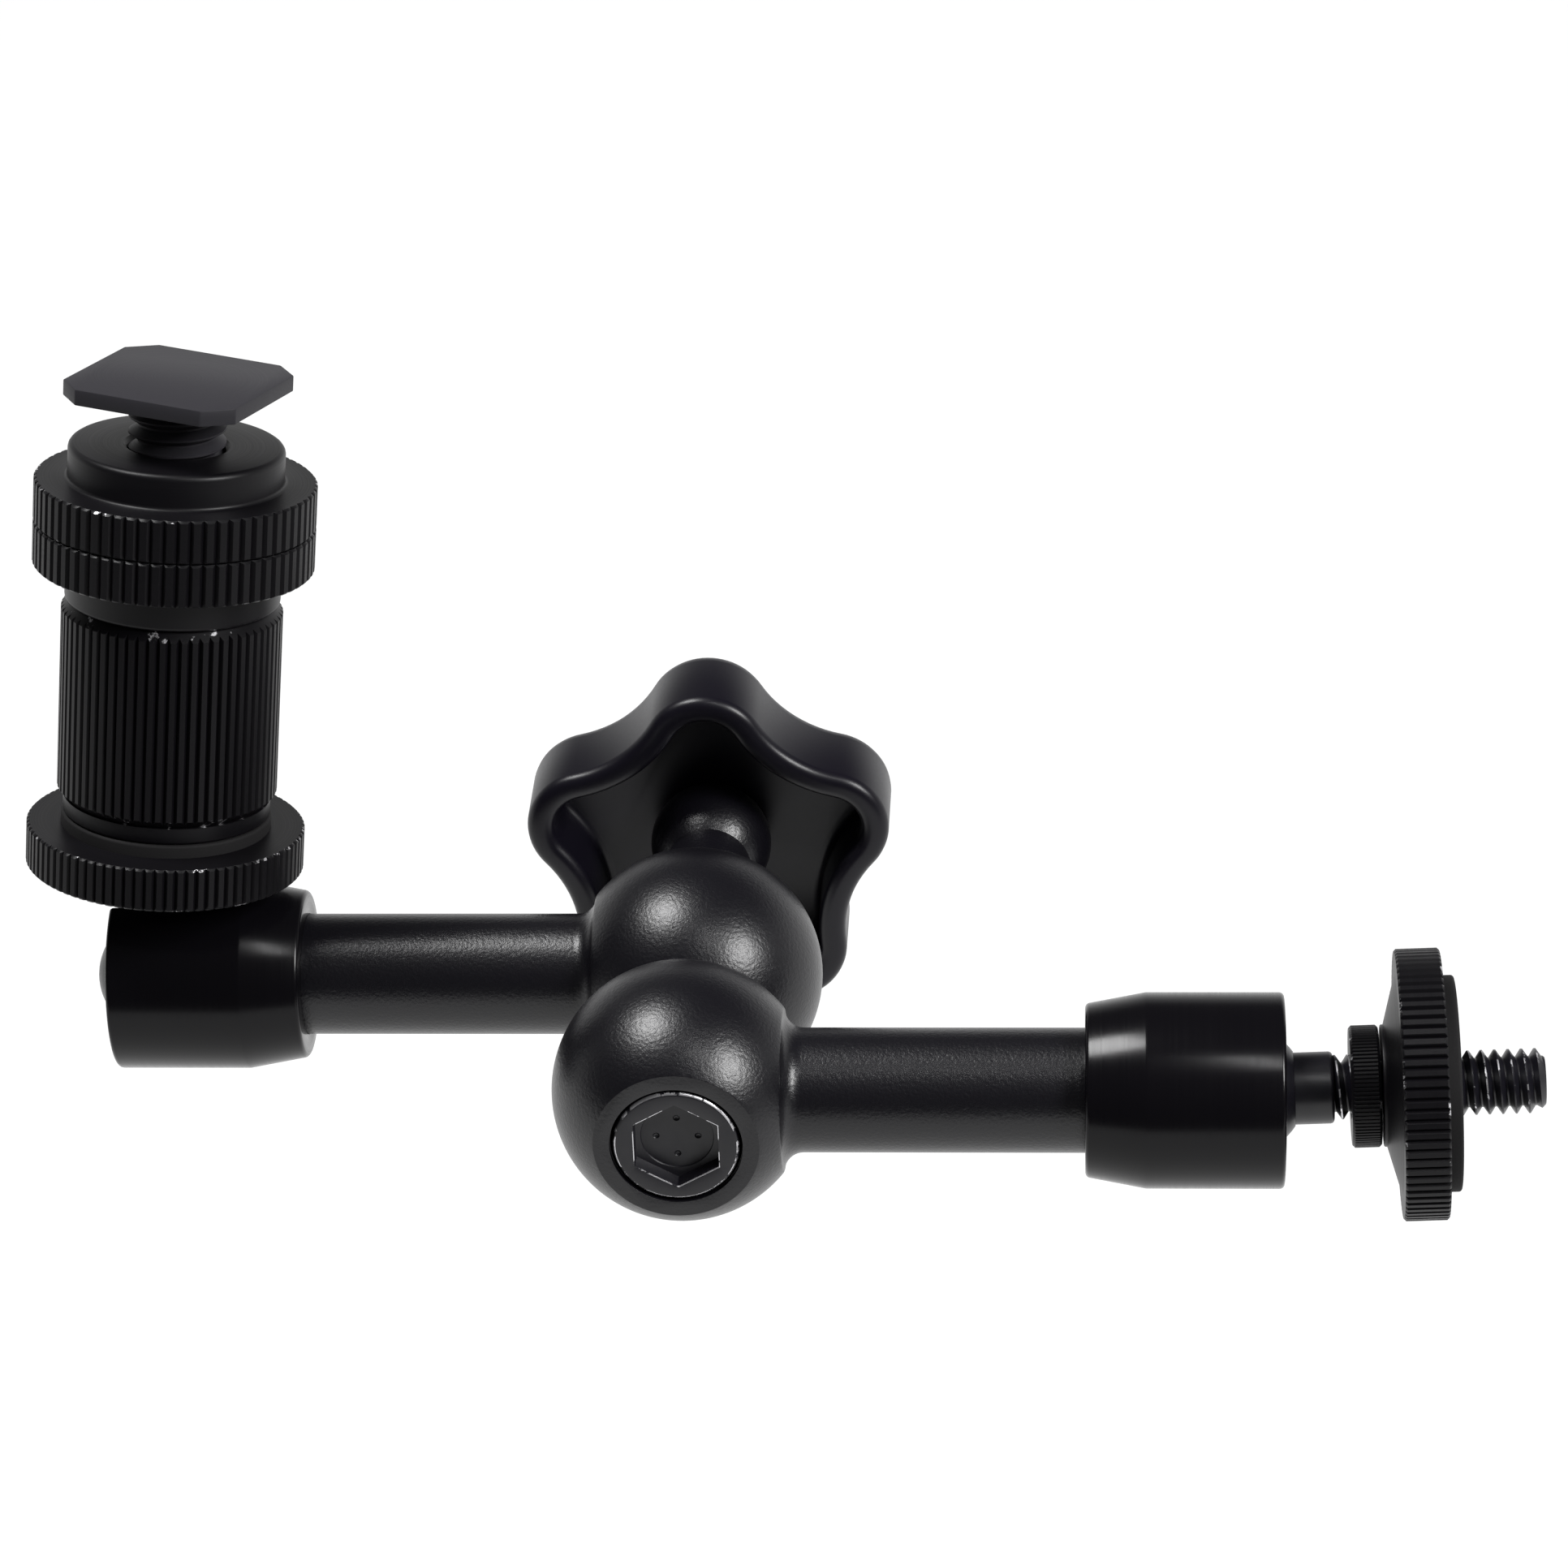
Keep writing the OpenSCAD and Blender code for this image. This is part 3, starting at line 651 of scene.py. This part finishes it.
def shoe_nut(low, high, radius, boss_up):
    """A shoe nut: grooved rim with a plain boss on one side, and its bore chamfered there."""
    bore, boss, lead = size("foot_stud_d") / 2, size("nut_boss_d") / 2, 0.4
    rise = size("nut_boss_h")
    if boss_up:
        rim_low, rim_high = low, high - rise
        inner = [
            (boss, rim_high, 0.4), (boss, high, 0.6),
            (bore + lead, high), (bore, high - lead), (bore, low),
        ]
    else:
        rim_low, rim_high = low + rise, high
        inner = [
            (bore, high), (bore, low + lead), (bore + lead, low),
            (boss, low, 0.4), (boss, rim_low, 0.3),
        ]
    return grooved_disc(
        radius, rim_low, rim_high, setting("nut_grooves"), size("groove_depth"), RIM_CHAMFER, inner
    )


def socket_cap(low, high, radius):
    """A socket cap about Z with its mouth up and its fold slot towards +X."""
    rear, cavity_r, wall = size("cap_rear_d") / 2, 6.25, 2
    tube, mouth = size("tube_d") / 2 + 0.05, size("mouth_r")
    meet = math.degrees(math.acos(mouth / cavity_r))
    outline = [
        (tube, low), (rear, low, 0.4), (radius, low + size("cap_taper"), 0.12),
        (radius, high, 0.45), (mouth + 0.4, high, 0.2), *arc((0, 0), cavity_r, meet, 0, 10),
        (cavity_r, low + wall), (tube, low + wall),
    ]
    bm = turned(outline, steps=160)
    slot = bmesh.new()
    bmesh.ops.create_circle(
        slot, cap_ends=True, segments=48, radius=size("slot_w") / 2,
        matrix=Matrix.Rotation(math.pi / 2, 4, "Y"),
    )
    outer = [vert for vert in slot.verts if vert.co.z > -TINY]
    bmesh.ops.translate(slot, verts=outer, vec=(0, 0, high + 2))
    # The slot's round end sits a little behind the ball's centre
    bmesh.ops.translate(slot, verts=slot.verts, vec=(0, 0, -0.8))
    raised = bmesh.ops.extrude_face_region(slot, geom=slot.faces[:])
    moved = [part for part in raised["geom"] if isinstance(part, bmesh.types.BMVert)]
    bmesh.ops.translate(slot, verts=moved, vec=(2 * radius, 0, 0))
    bm = carve(bm, closed(slot))
    return soften(bm, 0.2, 2, 50)


def arm_body(reach, bore_r, bore_depth):
    """An arm about Z: ball knuckle with flats, blend and tube; Y is the knuckle's own axis."""
    ball, tube, blend = size("knuckle_d") / 2, size("tube_d") / 2, size("knuckle_blend")
    flat, mate = size("knuckle_flat"), (size("knuckle_pitch") - size("washer_t")) / 2
    height = tube + blend
    along = math.sqrt(ball**2 - height**2)
    skin = arc((0, 0), ball, -90, math.degrees(math.atan2(along, height)), 56)
    skin[0] = (0, -ball)
    skin[-1] = (height, along, 0.15)
    fillet = arc((height, along + blend), blend, 270, 180, 10)
    # The tube ends in a thread that the socket cap hides
    collar, thread_r, end = reach - 13.7, 6.2, reach - 9.5
    outline = skin + fillet[1:] + [(tube, collar), (thread_r, collar), (thread_r, end), (0, end)]
    bm = turned(outline, steps=160)
    cut_flat(bm, (0, -flat, 0), (0, -1, 0))
    cut_flat(bm, (0, mate, 0), (0, 1, 0))
    closed(bm)
    # Cutters reach 1 mm past what they cut
    floor, inner_r, shelf, neck_r = bore_depth - flat, size("bore_r"), mate - 4.5, 5.4
    bore = turned([
        (0, -flat - 1), (bore_r, -flat - 1), (bore_r, floor), (inner_r, floor),
        (inner_r, shelf), (neck_r, shelf), (neck_r, mate + 1), (0, mate + 1),
    ], steps=96)
    bmesh.ops.rotate(bore, verts=bore.verts, matrix=Matrix.Rotation(-math.pi / 2, 3, "X"))
    rod = size("rod_bore_r")
    rod_bore = turned([(0, rod + 1), (rod, rod + 1), (rod, reach), (0, reach)], steps=48)
    bm = carve(bm, bore, rod_bore)
    return soften(bm, 0.22, 3, 35, lambda edge: all(abs(v.co.y + flat) < 0.02 for v in edge.verts))


def draw_bolt(low, high):
    """The draw bolt about Z: head with a hexagon socket, cone and shank."""
    head, cone_low, cone_high = size("bolt_head_d") / 2, low + 5, low + 13
    cone_r, shank = 4.3, 3
    bm = turned([
        (0, low), (head, low, 0.45), (head, cone_low), (cone_r, cone_high), (shank, cone_high),
        (shank, high, 0.4), (0, high),
    ], steps=96)
    socket = bmesh.new()
    across, deep = size("hex_af"), size("hex_depth")
    bmesh.ops.create_cone(
        socket, cap_ends=True, segments=6, radius1=across / math.sqrt(3),
        radius2=across / math.sqrt(3), depth=deep + 1,
        matrix=Matrix.Translation((0, 0, low + (deep - 1) / 2)),
    )
    # A drilled floor with four punch marks, as the socket was forged
    floor = turned([
        (0, low + deep - 0.5), (across / 2 - 0.35, low + deep - 0.5),
        (across / 2 - 0.55, low + deep + 0.15), (0, low + deep + 0.15),
    ], steps=64)
    dents = []
    for quarter in range(4):
        dent = bmesh.new()
        bmesh.ops.create_uvsphere(dent, u_segments=20, v_segments=12, radius=0.42)
        turn = Matrix.Rotation(quarter * math.pi / 2, 4, "Z")
        place = turn @ Matrix.Translation((2, 0, low + deep - 0.1))
        bmesh.ops.transform(dent, matrix=place, verts=dent.verts)
        dents.append(dent)
    bm = carve(bm, closed(socket), floor, *dents)
    bm = soften(bm, 0.1, 2, 45, lambda edge: all(v.co.z < low + deep + TINY for v in edge.verts))
    mark_wear(
        bm, (head - 0.3, head, low, low + 0.3), (across / 2, across * 0.6, low, low + 0.1)
    )
    return bm


def thrust_boss(low, high):
    """The thrust piece under the knob: collar, waist and ball, bored for the shank."""
    bore, collar_r, collar_h = 3.05, 6.95, 4.4
    # The ball's centre lies this far under its flat top
    ball, rise = size("thrust_ball_r"), 3.6
    end = math.degrees(math.asin(rise / ball))
    return turned([
        (bore, low), (collar_r, low), (collar_r, low + collar_h, 0.5),
        *arc((0, high - rise), ball, -46, end, 16), (bore, high),
    ], steps=96)


def knob_body(low, radius):
    """The lobed knob about Z: hollow downwards, round edges, blind hub on its back."""
    lobes = setting("lobes")
    half = math.pi / lobes
    lobe_r, valley = size("lobe_r"), size("knob_valley_d") / 2
    centre = radius - lobe_r
    valley_r = (centre**2 + valley**2 - 2 * centre * valley * math.cos(half) - lobe_r**2) / (
        2 * (lobe_r - valley + centre * math.cos(half))
    )
    far = valley + valley_r
    turn = math.atan2(far * math.sin(half), far * math.cos(half) - centre)
    bm = bmesh.new()
    start = bm.verts.new((centre + lobe_r * math.cos(-turn), lobe_r * math.sin(-turn), low))
    lobe = bmesh.ops.spin(
        bm, geom=[start], cent=(centre, 0, low), axis=(0, 0, 1), angle=2 * turn, steps=24
    )
    last = [part for part in lobe["geom_last"] if isinstance(part, bmesh.types.BMVert)]
    bmesh.ops.spin(
        bm, geom=last, cent=(far * math.cos(half), far * math.sin(half), low), axis=(0, 0, 1),
        angle=-2 * (turn - half), steps=12,
    )
    bmesh.ops.spin(
        bm, geom=bm.verts[:] + bm.edges[:], cent=(0, 0, low), axis=(0, 0, 1), angle=math.tau,
        steps=lobes, use_duplicate=True,
    )
    bmesh.ops.remove_doubles(bm, verts=bm.verts, dist=5 * TINY)
    bmesh.ops.rotate(
        bm, verts=bm.verts, cent=(0, 0, low), matrix=Matrix.Rotation(-math.pi / 2, 3, "Z")
    )
    bmesh.ops.edgeloop_fill(bm, edges=bm.edges)
    back = low + size("knob_depth")
    floor = low + size("knob_hollow")
    raised = bmesh.ops.extrude_face_region(bm, geom=bm.faces[:])
    moved = [part for part in raised["geom"] if isinstance(part, bmesh.types.BMVert)]
    bmesh.ops.translate(bm, verts=moved, vec=(0, 0, size("knob_depth")))
    closed(bm)
    bottom = [face for face in bm.faces if all(abs(v.co.z - low) < TINY for v in face.verts)]
    bmesh.ops.inset_region(bm, faces=bottom, thickness=size("knob_wall"), use_even_offset=True)
    hollow = bmesh.ops.extrude_face_region(bm, geom=bottom)
    moved = [part for part in hollow["geom"] if isinstance(part, bmesh.types.BMVert)]
    bmesh.ops.delete(bm, geom=bottom, context="FACES_ONLY")
    bmesh.ops.translate(bm, verts=moved, vec=(0, 0, size("knob_hollow")))
    closed(bm)
    for height, edge_r, segments in ((back, 2.5, 6), (low, 1.1, 4), (floor, 1, 4)):
        soften(
            bm, edge_r, segments, 45,
            lambda edge: all(abs(v.co.z - height) < TINY for v in edge.verts),
        )
    insert_r, insert_top, hub_r, hub_top = 3.95, floor + 4, 7, back + 1.6
    pocket = turned([
        (0, floor - 0.5), (insert_r, floor - 0.5), (insert_r, insert_top), (0, insert_top),
    ], steps=64)
    hub = turned([
        (0, insert_top), (insert_r, insert_top), (insert_r, back - 0.4), (hub_r, back - 0.4),
        (hub_r, hub_top, 0.6), (0, hub_top),
    ], steps=96)
    return join(carve(bm, pocket), hub)


def shoe_foot(low, high):
    """The shoe foot about Z: square plate with clipped corners on its threaded stud."""
    plate = bmesh.new()
    side, thick = size("foot_side"), size("foot_t")
    place = Matrix.Translation((0, 0, high - thick / 2)) @ Matrix.Diagonal((side, side, thick, 1))
    bmesh.ops.create_cube(plate, size=1, matrix=place)
    corners = [edge for edge in plate.edges if abs(edge.verts[0].co.z - edge.verts[1].co.z) > TINY]
    bmesh.ops.bevel(
        plate, geom=corners, offset=size("foot_corner") / math.sqrt(2), offset_type="OFFSET",
        segments=1, profile=0.5, affect="EDGES", material=-1,
    )
    soften(plate, 0.14, 2, 30)
    mark_wear(plate, (size("foot_stud_d"), side, high - thick - 0.1, high - thick + 0.15))
    stud = threaded(size("foot_stud_d") / 2, size("foot_pitch"), low, high - thick / 2, 0)
    return join(closed(plate), stud)


class PieceOperator:
    """What every piece operator shares."""

    bl_options = {"REGISTER", "UNDO"}


class FRICTIONARM_OT_base_end(PieceOperator, bpy.types.Operator):
    """Base screw with its ball, jam nut, lock disc and rubber pad"""

    bl_idname = "friction_arm.base_end"
    bl_label = "Base end"

    def execute(self, context):
        _, face, radius = span("base_ball", BASE_STACK)
        _, high, _ = span("base_ball_stud", BASE_STACK)
        steel = black_oxide("Black oxide steel screw", BASE_STACK, wear=1.5)
        ball = turned(ball_skin(radius, math.sqrt(radius**2 - face**2)) + [(0, face)], steps=64)
        make_piece(
            "base_ball_turned", ball, BASE_STACK, "base_pivot", "base_ball", steel
        )
        # The screw's foot starts just off the ball's face, so that neither shows through the other
        foot = [(0, face + 0.02), (size("neck_d") / 2, face + 0.02)]
        screw = stud_post(foot, high, 0.8)
        make_piece("base_screw", screw, BASE_STACK, "base", "base_ball_stud", steel)
        low, high, radius = span("base_jam_nut", BASE_STACK)
        bore = size("screw_d") / 2
        nut = grooved_disc(
            radius, low, high, setting("jam_grooves"), 0.12, 0.25, [(bore, high), (bore, low)]
        )
        black = anodised("Black anodised aluminium, base", BASE_STACK)
        make_piece("jam_nut", nut, BASE_STACK, "base_nut", "base_jam_nut", black)
        disc = lock_disc(*span("base_lock_disc", BASE_STACK), setting("base_grooves"))
        make_piece("base_disc", disc, BASE_STACK, "base_disc", "base_lock_disc", black)
        make_pad("base_rubber_pad", "base_pad", BASE_STACK, "base_disc")
        return {"FINISHED"}


def make_pad(name, node, place, body):
    """A flat rubber pad with soft upper edges."""
    low, high, radius = span(node, place)
    hole, soft = size("screw_d") / 2 + 0.05, size("pad_soft")
    bm = turned([(hole, low), (radius, low), (radius, high, soft), (hole, high, soft)], steps=96)
    rubber = moulded_rubber("Black rubber, " + name, place)
    make_piece(name, bm, place, body, node, rubber)


class FRICTIONARM_OT_arms(PieceOperator, bpy.types.Operator):
    """Both arms: knuckle, blend and tube"""

    bl_idname = "friction_arm.arms"
    bl_label = "Arms"

    def execute(self, context):
        half = size("knuckle_pitch") / 2 * MM * ELBOW_AXIS
        middle = ELBOW.translation
        for name, node, body, side, bore_r, depth in (
            ("front_arm_casting", "front_arm", "front_arm_body", 1, 6.35, 0.6),
            ("rear_arm_casting", "rear_arm", "rear_arm_body", -1, 7.05, 5.75),
        ):
            along, across = side * ARM, side * ELBOW_AXIS
            place = axes(middle - side * half, along, across.cross(along))
            reach = (BASE_BALL - (middle - half)).length / MM
            coat = powder_coat("Black powder coat, " + name, place)
            arm = arm_body(reach, bore_r, depth)
            make_piece(name, arm, place, body, node, coat)
        return {"FINISHED"}


class FRICTIONARM_OT_socket_caps(PieceOperator, bpy.types.Operator):
    """Both socket caps with their fold slots"""

    bl_idname = "friction_arm.socket_caps"
    bl_label = "Socket caps"

    def execute(self, context):
        for name, node, body, origin, along, slot in (
            ("base_cap", "front_socket_cap", "front_arm_body", BASE_BALL, ARM, DOWN),
            ("tip_cap", "rear_socket_cap", "rear_arm_body", TIP_BALL, -ARM, -DOWN),
        ):
            place = axes(origin, along, slot)
            satin = anodised("Satin black anodised cap, " + name, place, 0.2, 0.3, 0.002)
            make_piece(name, socket_cap(*span(node, place)), place, body, node, satin)
        return {"FINISHED"}


class FRICTIONARM_OT_clamp(PieceOperator, bpy.types.Operator):
    """Draw bolt and the cone that the knob pulls on"""

    bl_idname = "friction_arm.clamp"
    bl_label = "Clamp"

    def execute(self, context):
        low, high, _ = span("draw_bolt", ELBOW)
        bolt = draw_bolt(low, high)
        oxide = black_oxide("Black oxide steel bolt", ELBOW, 0.4, 2)
        make_piece("socket_head_bolt", bolt, ELBOW, "bolt", "draw_bolt", oxide)
        low, high, _ = span("thrust_cone", ELBOW)
        boss = thrust_boss(low, high)
        coat = powder_coat("Black powder coat, cone", ELBOW)
        make_piece("clamp_cone", boss, ELBOW, "thrust", "thrust_cone", coat)
        return {"FINISHED"}


class FRICTIONARM_OT_knob(PieceOperator, bpy.types.Operator):
    """Lobed clamping knob"""

    bl_idname = "friction_arm.knob"
    bl_label = "Knob"

    def execute(self, context):
        low, _, radius = span("knob", ELBOW)
        knob = knob_body(low, radius)
        nylon = moulded_plastic("Black moulded nylon", ELBOW)
        make_piece("lobed_knob", knob, ELBOW, "knob_body", "knob", nylon, sharp=40)
        return {"FINISHED"}


class FRICTIONARM_OT_tip_end(PieceOperator, bpy.types.Operator):
    """Tip stud, lock disc, pad, coupling barrel, shoe nuts and shoe foot"""

    bl_idname = "friction_arm.tip_end"
    bl_label = "Tip end"

    def execute(self, context):
        black = anodised("Black anodised aluminium, tip", TIP_STACK)
        low, high, _ = span("tip_ball_stud", TIP_STACK)
        stud = stud_post(ball_skin(-low, size("neck_d") / 2), high, 0.3)
        oxide = black_oxide("Black oxide steel stud", TIP_STACK)
        make_piece("tip_screw", stud, TIP_STACK, "tip_stud", "tip_ball_stud", oxide)
        disc = lock_disc(*span("tip_lock_disc", TIP_STACK), setting("tip_grooves"))
        make_piece(
            "tip_disc_turned", disc, TIP_STACK, "tip_disc", "tip_lock_disc", black
        )
        make_pad("tip_rubber_pad", "tip_pad", TIP_STACK, "tip_disc")
        low, high, radius = span("coupling_barrel", TIP_STACK)
        foot, step, boss = low + size("barrel_boss"), high - 9, radius - 0.6
        bore, screw = size("foot_stud_d") / 2, size("screw_d") / 2
        barrel = grooved_disc(radius, foot, high, setting("barrel_grooves"), 0.4, 0.9, [
            (bore, high), (bore, step), (screw, step), (screw, low), (boss, low, 0.2),
            (boss, foot),
        ])
        make_piece(
            "grooved_barrel", barrel, TIP_STACK, "coupling", "coupling_barrel", black
        )
        for name, node, body, boss_up in (
            ("lower_nut_turned", "lower_shoe_nut", "lower_nut", False),
            ("upper_nut_turned", "upper_shoe_nut", "upper_nut", True),
        ):
            nut = shoe_nut(*span(node, TIP_STACK), boss_up)
            make_piece(name, nut, TIP_STACK, body, node, black)
        low, high, _ = span("shoe_foot", TIP_STACK)
        place = TIP_STACK @ Matrix.Rotation(setting("foot_turn"), 4, "Z")
        foot = shoe_foot(low, high)
        # The plate's lighter colour is painted light for its upward face, laid over a dark coat
        # like the other anodised parts
        coat = anodised("Black anodised plate", place, 0.5, 1.3, coat="plate")
        make_piece("shoe_plate", foot, place, "foot", "shoe_foot", coat)
        return {"FINISHED"}


class FRICTIONARM_OT_inner_parts(PieceOperator, bpy.types.Operator):
    """Finishes on the inner pieces that keep their CAD shape"""

    bl_idname = "friction_arm.inner_parts"
    bl_label = "Inner parts"

    def execute(self, context):
        oxide = black_oxide("Black oxide steel cup", ELBOW, wear=0)
        steel = turned_metal("Turned steel", ELBOW, "bare", 0.3)
        brass = turned_metal("Turned brass", ELBOW, "brass", 0.3)
        for node, material in (
            ("front_ball_cup", oxide), ("rear_ball_cup", oxide), ("front_push_rod", steel),
            ("rear_push_rod", steel), ("friction_washer", oxide), ("release_spring", steel),
            ("rear_wedge", steel), ("knob_insert", brass),
        ):
            mesh = frame["nodes"][node].data
            mesh.materials.clear()
            mesh.materials.append(material)
        return {"FINISHED"}


class FRICTIONARM_OT_stage(PieceOperator, bpy.types.Operator):
    """Pale floor, soft lamps, white surroundings and the camera"""

    bl_idname = "friction_arm.stage"
    bl_label = "Stage"

    def execute(self, context):
        add_floor()
        add_lamps()
        add_world()
        add_camera()
        context.scene.view_settings.view_transform = "Standard"
        return {"FINISHED"}


def seen_or_reflected(tree):
    """1 for camera, glossy and transmission rays, else 0."""
    path = add_node(tree, "ShaderNodeLightPath")
    total = path.outputs["Is Camera Ray"]
    for ray in ("Is Glossy Ray", "Is Transmission Ray"):
        total = add_node(tree, "ShaderNodeMath", {"operation": "ADD", "use_clamp": True}, {
            0: total, 1: path.outputs[ray],
        }).outputs["Value"]
    return total


FLOOR_DROP = 0.19
FLOOR_FRONT = -0.4
FLOOR_HALF = 4
FLOOR_COLOUR = "#606060"
FLOOR_GLOW = 0.97
SURROUND_LIGHT = 0.15
ROOM_LIGHT = 0.06


def add_floor():
    """A wide pale floor, below the arm when it hangs straight down, which keeps the shadow."""
    bm = bmesh.new()
    bmesh.ops.create_grid(bm, x_segments=1, y_segments=1, size=FLOOR_HALF)
    bmesh.ops.translate(bm, verts=bm.verts, vec=(0, FLOOR_HALF + FLOOR_FRONT, -FLOOR_DROP))
    mesh = bpy.data.meshes.new("floor")
    bm.to_mesh(mesh)
    bm.free()
    floor = bpy.data.objects.new("floor", mesh)
    bpy.context.scene.collection.objects.link(floor)
    material, tree, shader = start_material(
        "Pale paper floor", Roughness=0.9, Specular_IOR_Level=0
    )
    shader.inputs["Base Color"].default_value = (*linear(FLOOR_COLOUR), 1)
    shader.inputs["Emission Color"].default_value = (1, 1, 1, 1)
    glow = add_node(tree, "ShaderNodeMath", {"operation": "MULTIPLY"}, {
        0: seen_or_reflected(tree), 1: FLOOR_GLOW,
    })
    tree.links.new(glow.outputs["Value"], shader.inputs["Emission Strength"])
    mesh.materials.append(material)


CAMERA_AZIMUTH = 4.273
CAMERA_ELEVATION = 19.927
CAMERA_ROLL = -3.630
CAMERA_PLACE = (-0.02555, -0.49477, 0.21281)
CAMERA_LENS = 128.6
CAMERA_SENSOR = 36
LAMP_TARGET = Vector((-0.074, 0.01, 0.01))
LAMP_DISTANCE = 0.9


def camera_turn():
    """The camera's rotation as a matrix."""
    return (
        Matrix.Rotation(math.radians(CAMERA_AZIMUTH), 4, "Z")
        @ Matrix.Rotation(math.radians(90 - CAMERA_ELEVATION), 4, "X")
        @ Matrix.Rotation(math.radians(CAMERA_ROLL), 4, "Z")
    )


def add_lamps():
    """Two soft boxes for the knuckles' highlights, and a weak tall strip for the caps' tapers."""
    view = camera_turn().to_3x3()
    for name, towards, wide, high, watts in (
        ("upper_left_softbox", (-0.41, 0.83, 0.38), 0.32, 0.28, 8.5),
        ("right_softbox", (0.67, 0.34, 0.66), 0.26, 0.34, 9),
        ("strip", (0.2, 0.56, 0.8), 0.06, 0.22, 0.8),
    ):
        lamp = bpy.data.lights.new(name, "AREA")
        lamp.shape = "RECTANGLE"
        lamp.size, lamp.size_y = wide, high
        lamp.energy = watts
        holder = bpy.data.objects.new(name, lamp)
        direction = (view @ Vector(towards)).normalized()
        holder.location = LAMP_TARGET + LAMP_DISTANCE * direction
        holder.rotation_euler = direction.to_track_quat("Z", "Y").to_euler()
        bpy.context.scene.collection.objects.link(holder)


def add_world():
    """White where it is seen; reflected, a white backdrop behind and a dim room round the rest."""
    world = bpy.data.worlds.new("White studio")
    world.use_nodes = True
    tree = world.node_tree
    back = tree.nodes["Background"]
    direction = add_node(tree, "ShaderNodeTexCoord")
    parts = add_node(tree, "ShaderNodeSeparateXYZ", inputs={
        "Vector": direction.outputs["Generated"],
    })
    behind = add_node(tree, "ShaderNodeMapRange", inputs={
        "Value": parts.outputs["Y"], "From Min": -0.1, "From Max": 0.4,
    })
    low = add_node(tree, "ShaderNodeMapRange", inputs={
        "Value": parts.outputs["Z"], "From Min": 0.1, "From Max": 0.6, "To Min": 1, "To Max": 0,
    })
    backdrop = add_node(tree, "ShaderNodeMath", {"operation": "MULTIPLY"}, {
        0: behind.outputs["Result"], 1: low.outputs["Result"],
    })
    room = add_node(tree, "ShaderNodeMapRange", inputs={
        "Value": backdrop.outputs["Value"], "To Min": ROOM_LIGHT, "To Max": 1,
    })
    path = add_node(tree, "ShaderNodeLightPath")
    reflected = add_node(tree, "ShaderNodeMix", inputs={
        0: path.outputs["Is Glossy Ray"], 2: SURROUND_LIGHT, 3: room.outputs["Result"],
    })
    seen = add_node(tree, "ShaderNodeMath", {"operation": "ADD"}, {
        0: path.outputs["Is Camera Ray"], 1: path.outputs["Is Transmission Ray"],
    })
    strength = add_node(tree, "ShaderNodeMix", inputs={
        0: seen.outputs["Value"], 2: reflected.outputs[0], 3: 1,
    })
    back.inputs["Color"].default_value = (1, 1, 1, 1)
    tree.links.new(strength.outputs[0], back.inputs["Strength"])
    bpy.context.scene.world = world


def add_camera():
    """A long lens at the photograph's angle."""
    camera = bpy.data.cameras.new("camera")
    camera.lens = CAMERA_LENS
    camera.sensor_width = CAMERA_SENSOR
    camera.clip_start = 0.01
    camera.clip_end = 20
    holder = bpy.data.objects.new("camera", camera)
    holder.matrix_world = Matrix.Translation(CAMERA_PLACE) @ camera_turn()
    bpy.context.scene.collection.objects.link(holder)
    bpy.context.scene.camera = holder


PIECE_OPERATORS = (
    FRICTIONARM_OT_base_end,
    FRICTIONARM_OT_arms,
    FRICTIONARM_OT_socket_caps,
    FRICTIONARM_OT_clamp,
    FRICTIONARM_OT_knob,
    FRICTIONARM_OT_tip_end,
    FRICTIONARM_OT_inner_parts,
    FRICTIONARM_OT_stage,
)


class FRICTIONARM_PT_pieces(bpy.types.Panel):
    """Buttons that build each piece"""

    bl_label = "Friction Arm"
    bl_space_type = "VIEW_3D"
    bl_region_type = "UI"
    bl_category = "Friction Arm"

    def draw(self, context):
        for operator in PIECE_OPERATORS:
            self.layout.operator(operator.bl_idname)


CLASSES = (FRICTIONARM_PG_sizes, FRICTIONARM_PG_finishes, *PIECE_OPERATORS, FRICTIONARM_PT_pieces)


def register():
    for cls in CLASSES:
        bpy.utils.register_class(cls)
    bpy.types.Scene.friction_arm_sizes = PointerProperty(type=FRICTIONARM_PG_sizes)
    bpy.types.Scene.friction_arm_finishes = PointerProperty(type=FRICTIONARM_PG_finishes)


def unregister():
    del bpy.types.Scene.friction_arm_finishes
    del bpy.types.Scene.friction_arm_sizes
    for cls in reversed(CLASSES):
        bpy.utils.unregister_class(cls)


def main():
    """Builds every piece and the stage."""
    register()
    bpy.ops.friction_arm.base_end()
    bpy.ops.friction_arm.arms()
    bpy.ops.friction_arm.socket_caps()
    bpy.ops.friction_arm.clamp()
    bpy.ops.friction_arm.knob()
    bpy.ops.friction_arm.tip_end()
    bpy.ops.friction_arm.inner_parts()
    bpy.ops.friction_arm.stage()


if __name__ == "__main__":
    main()
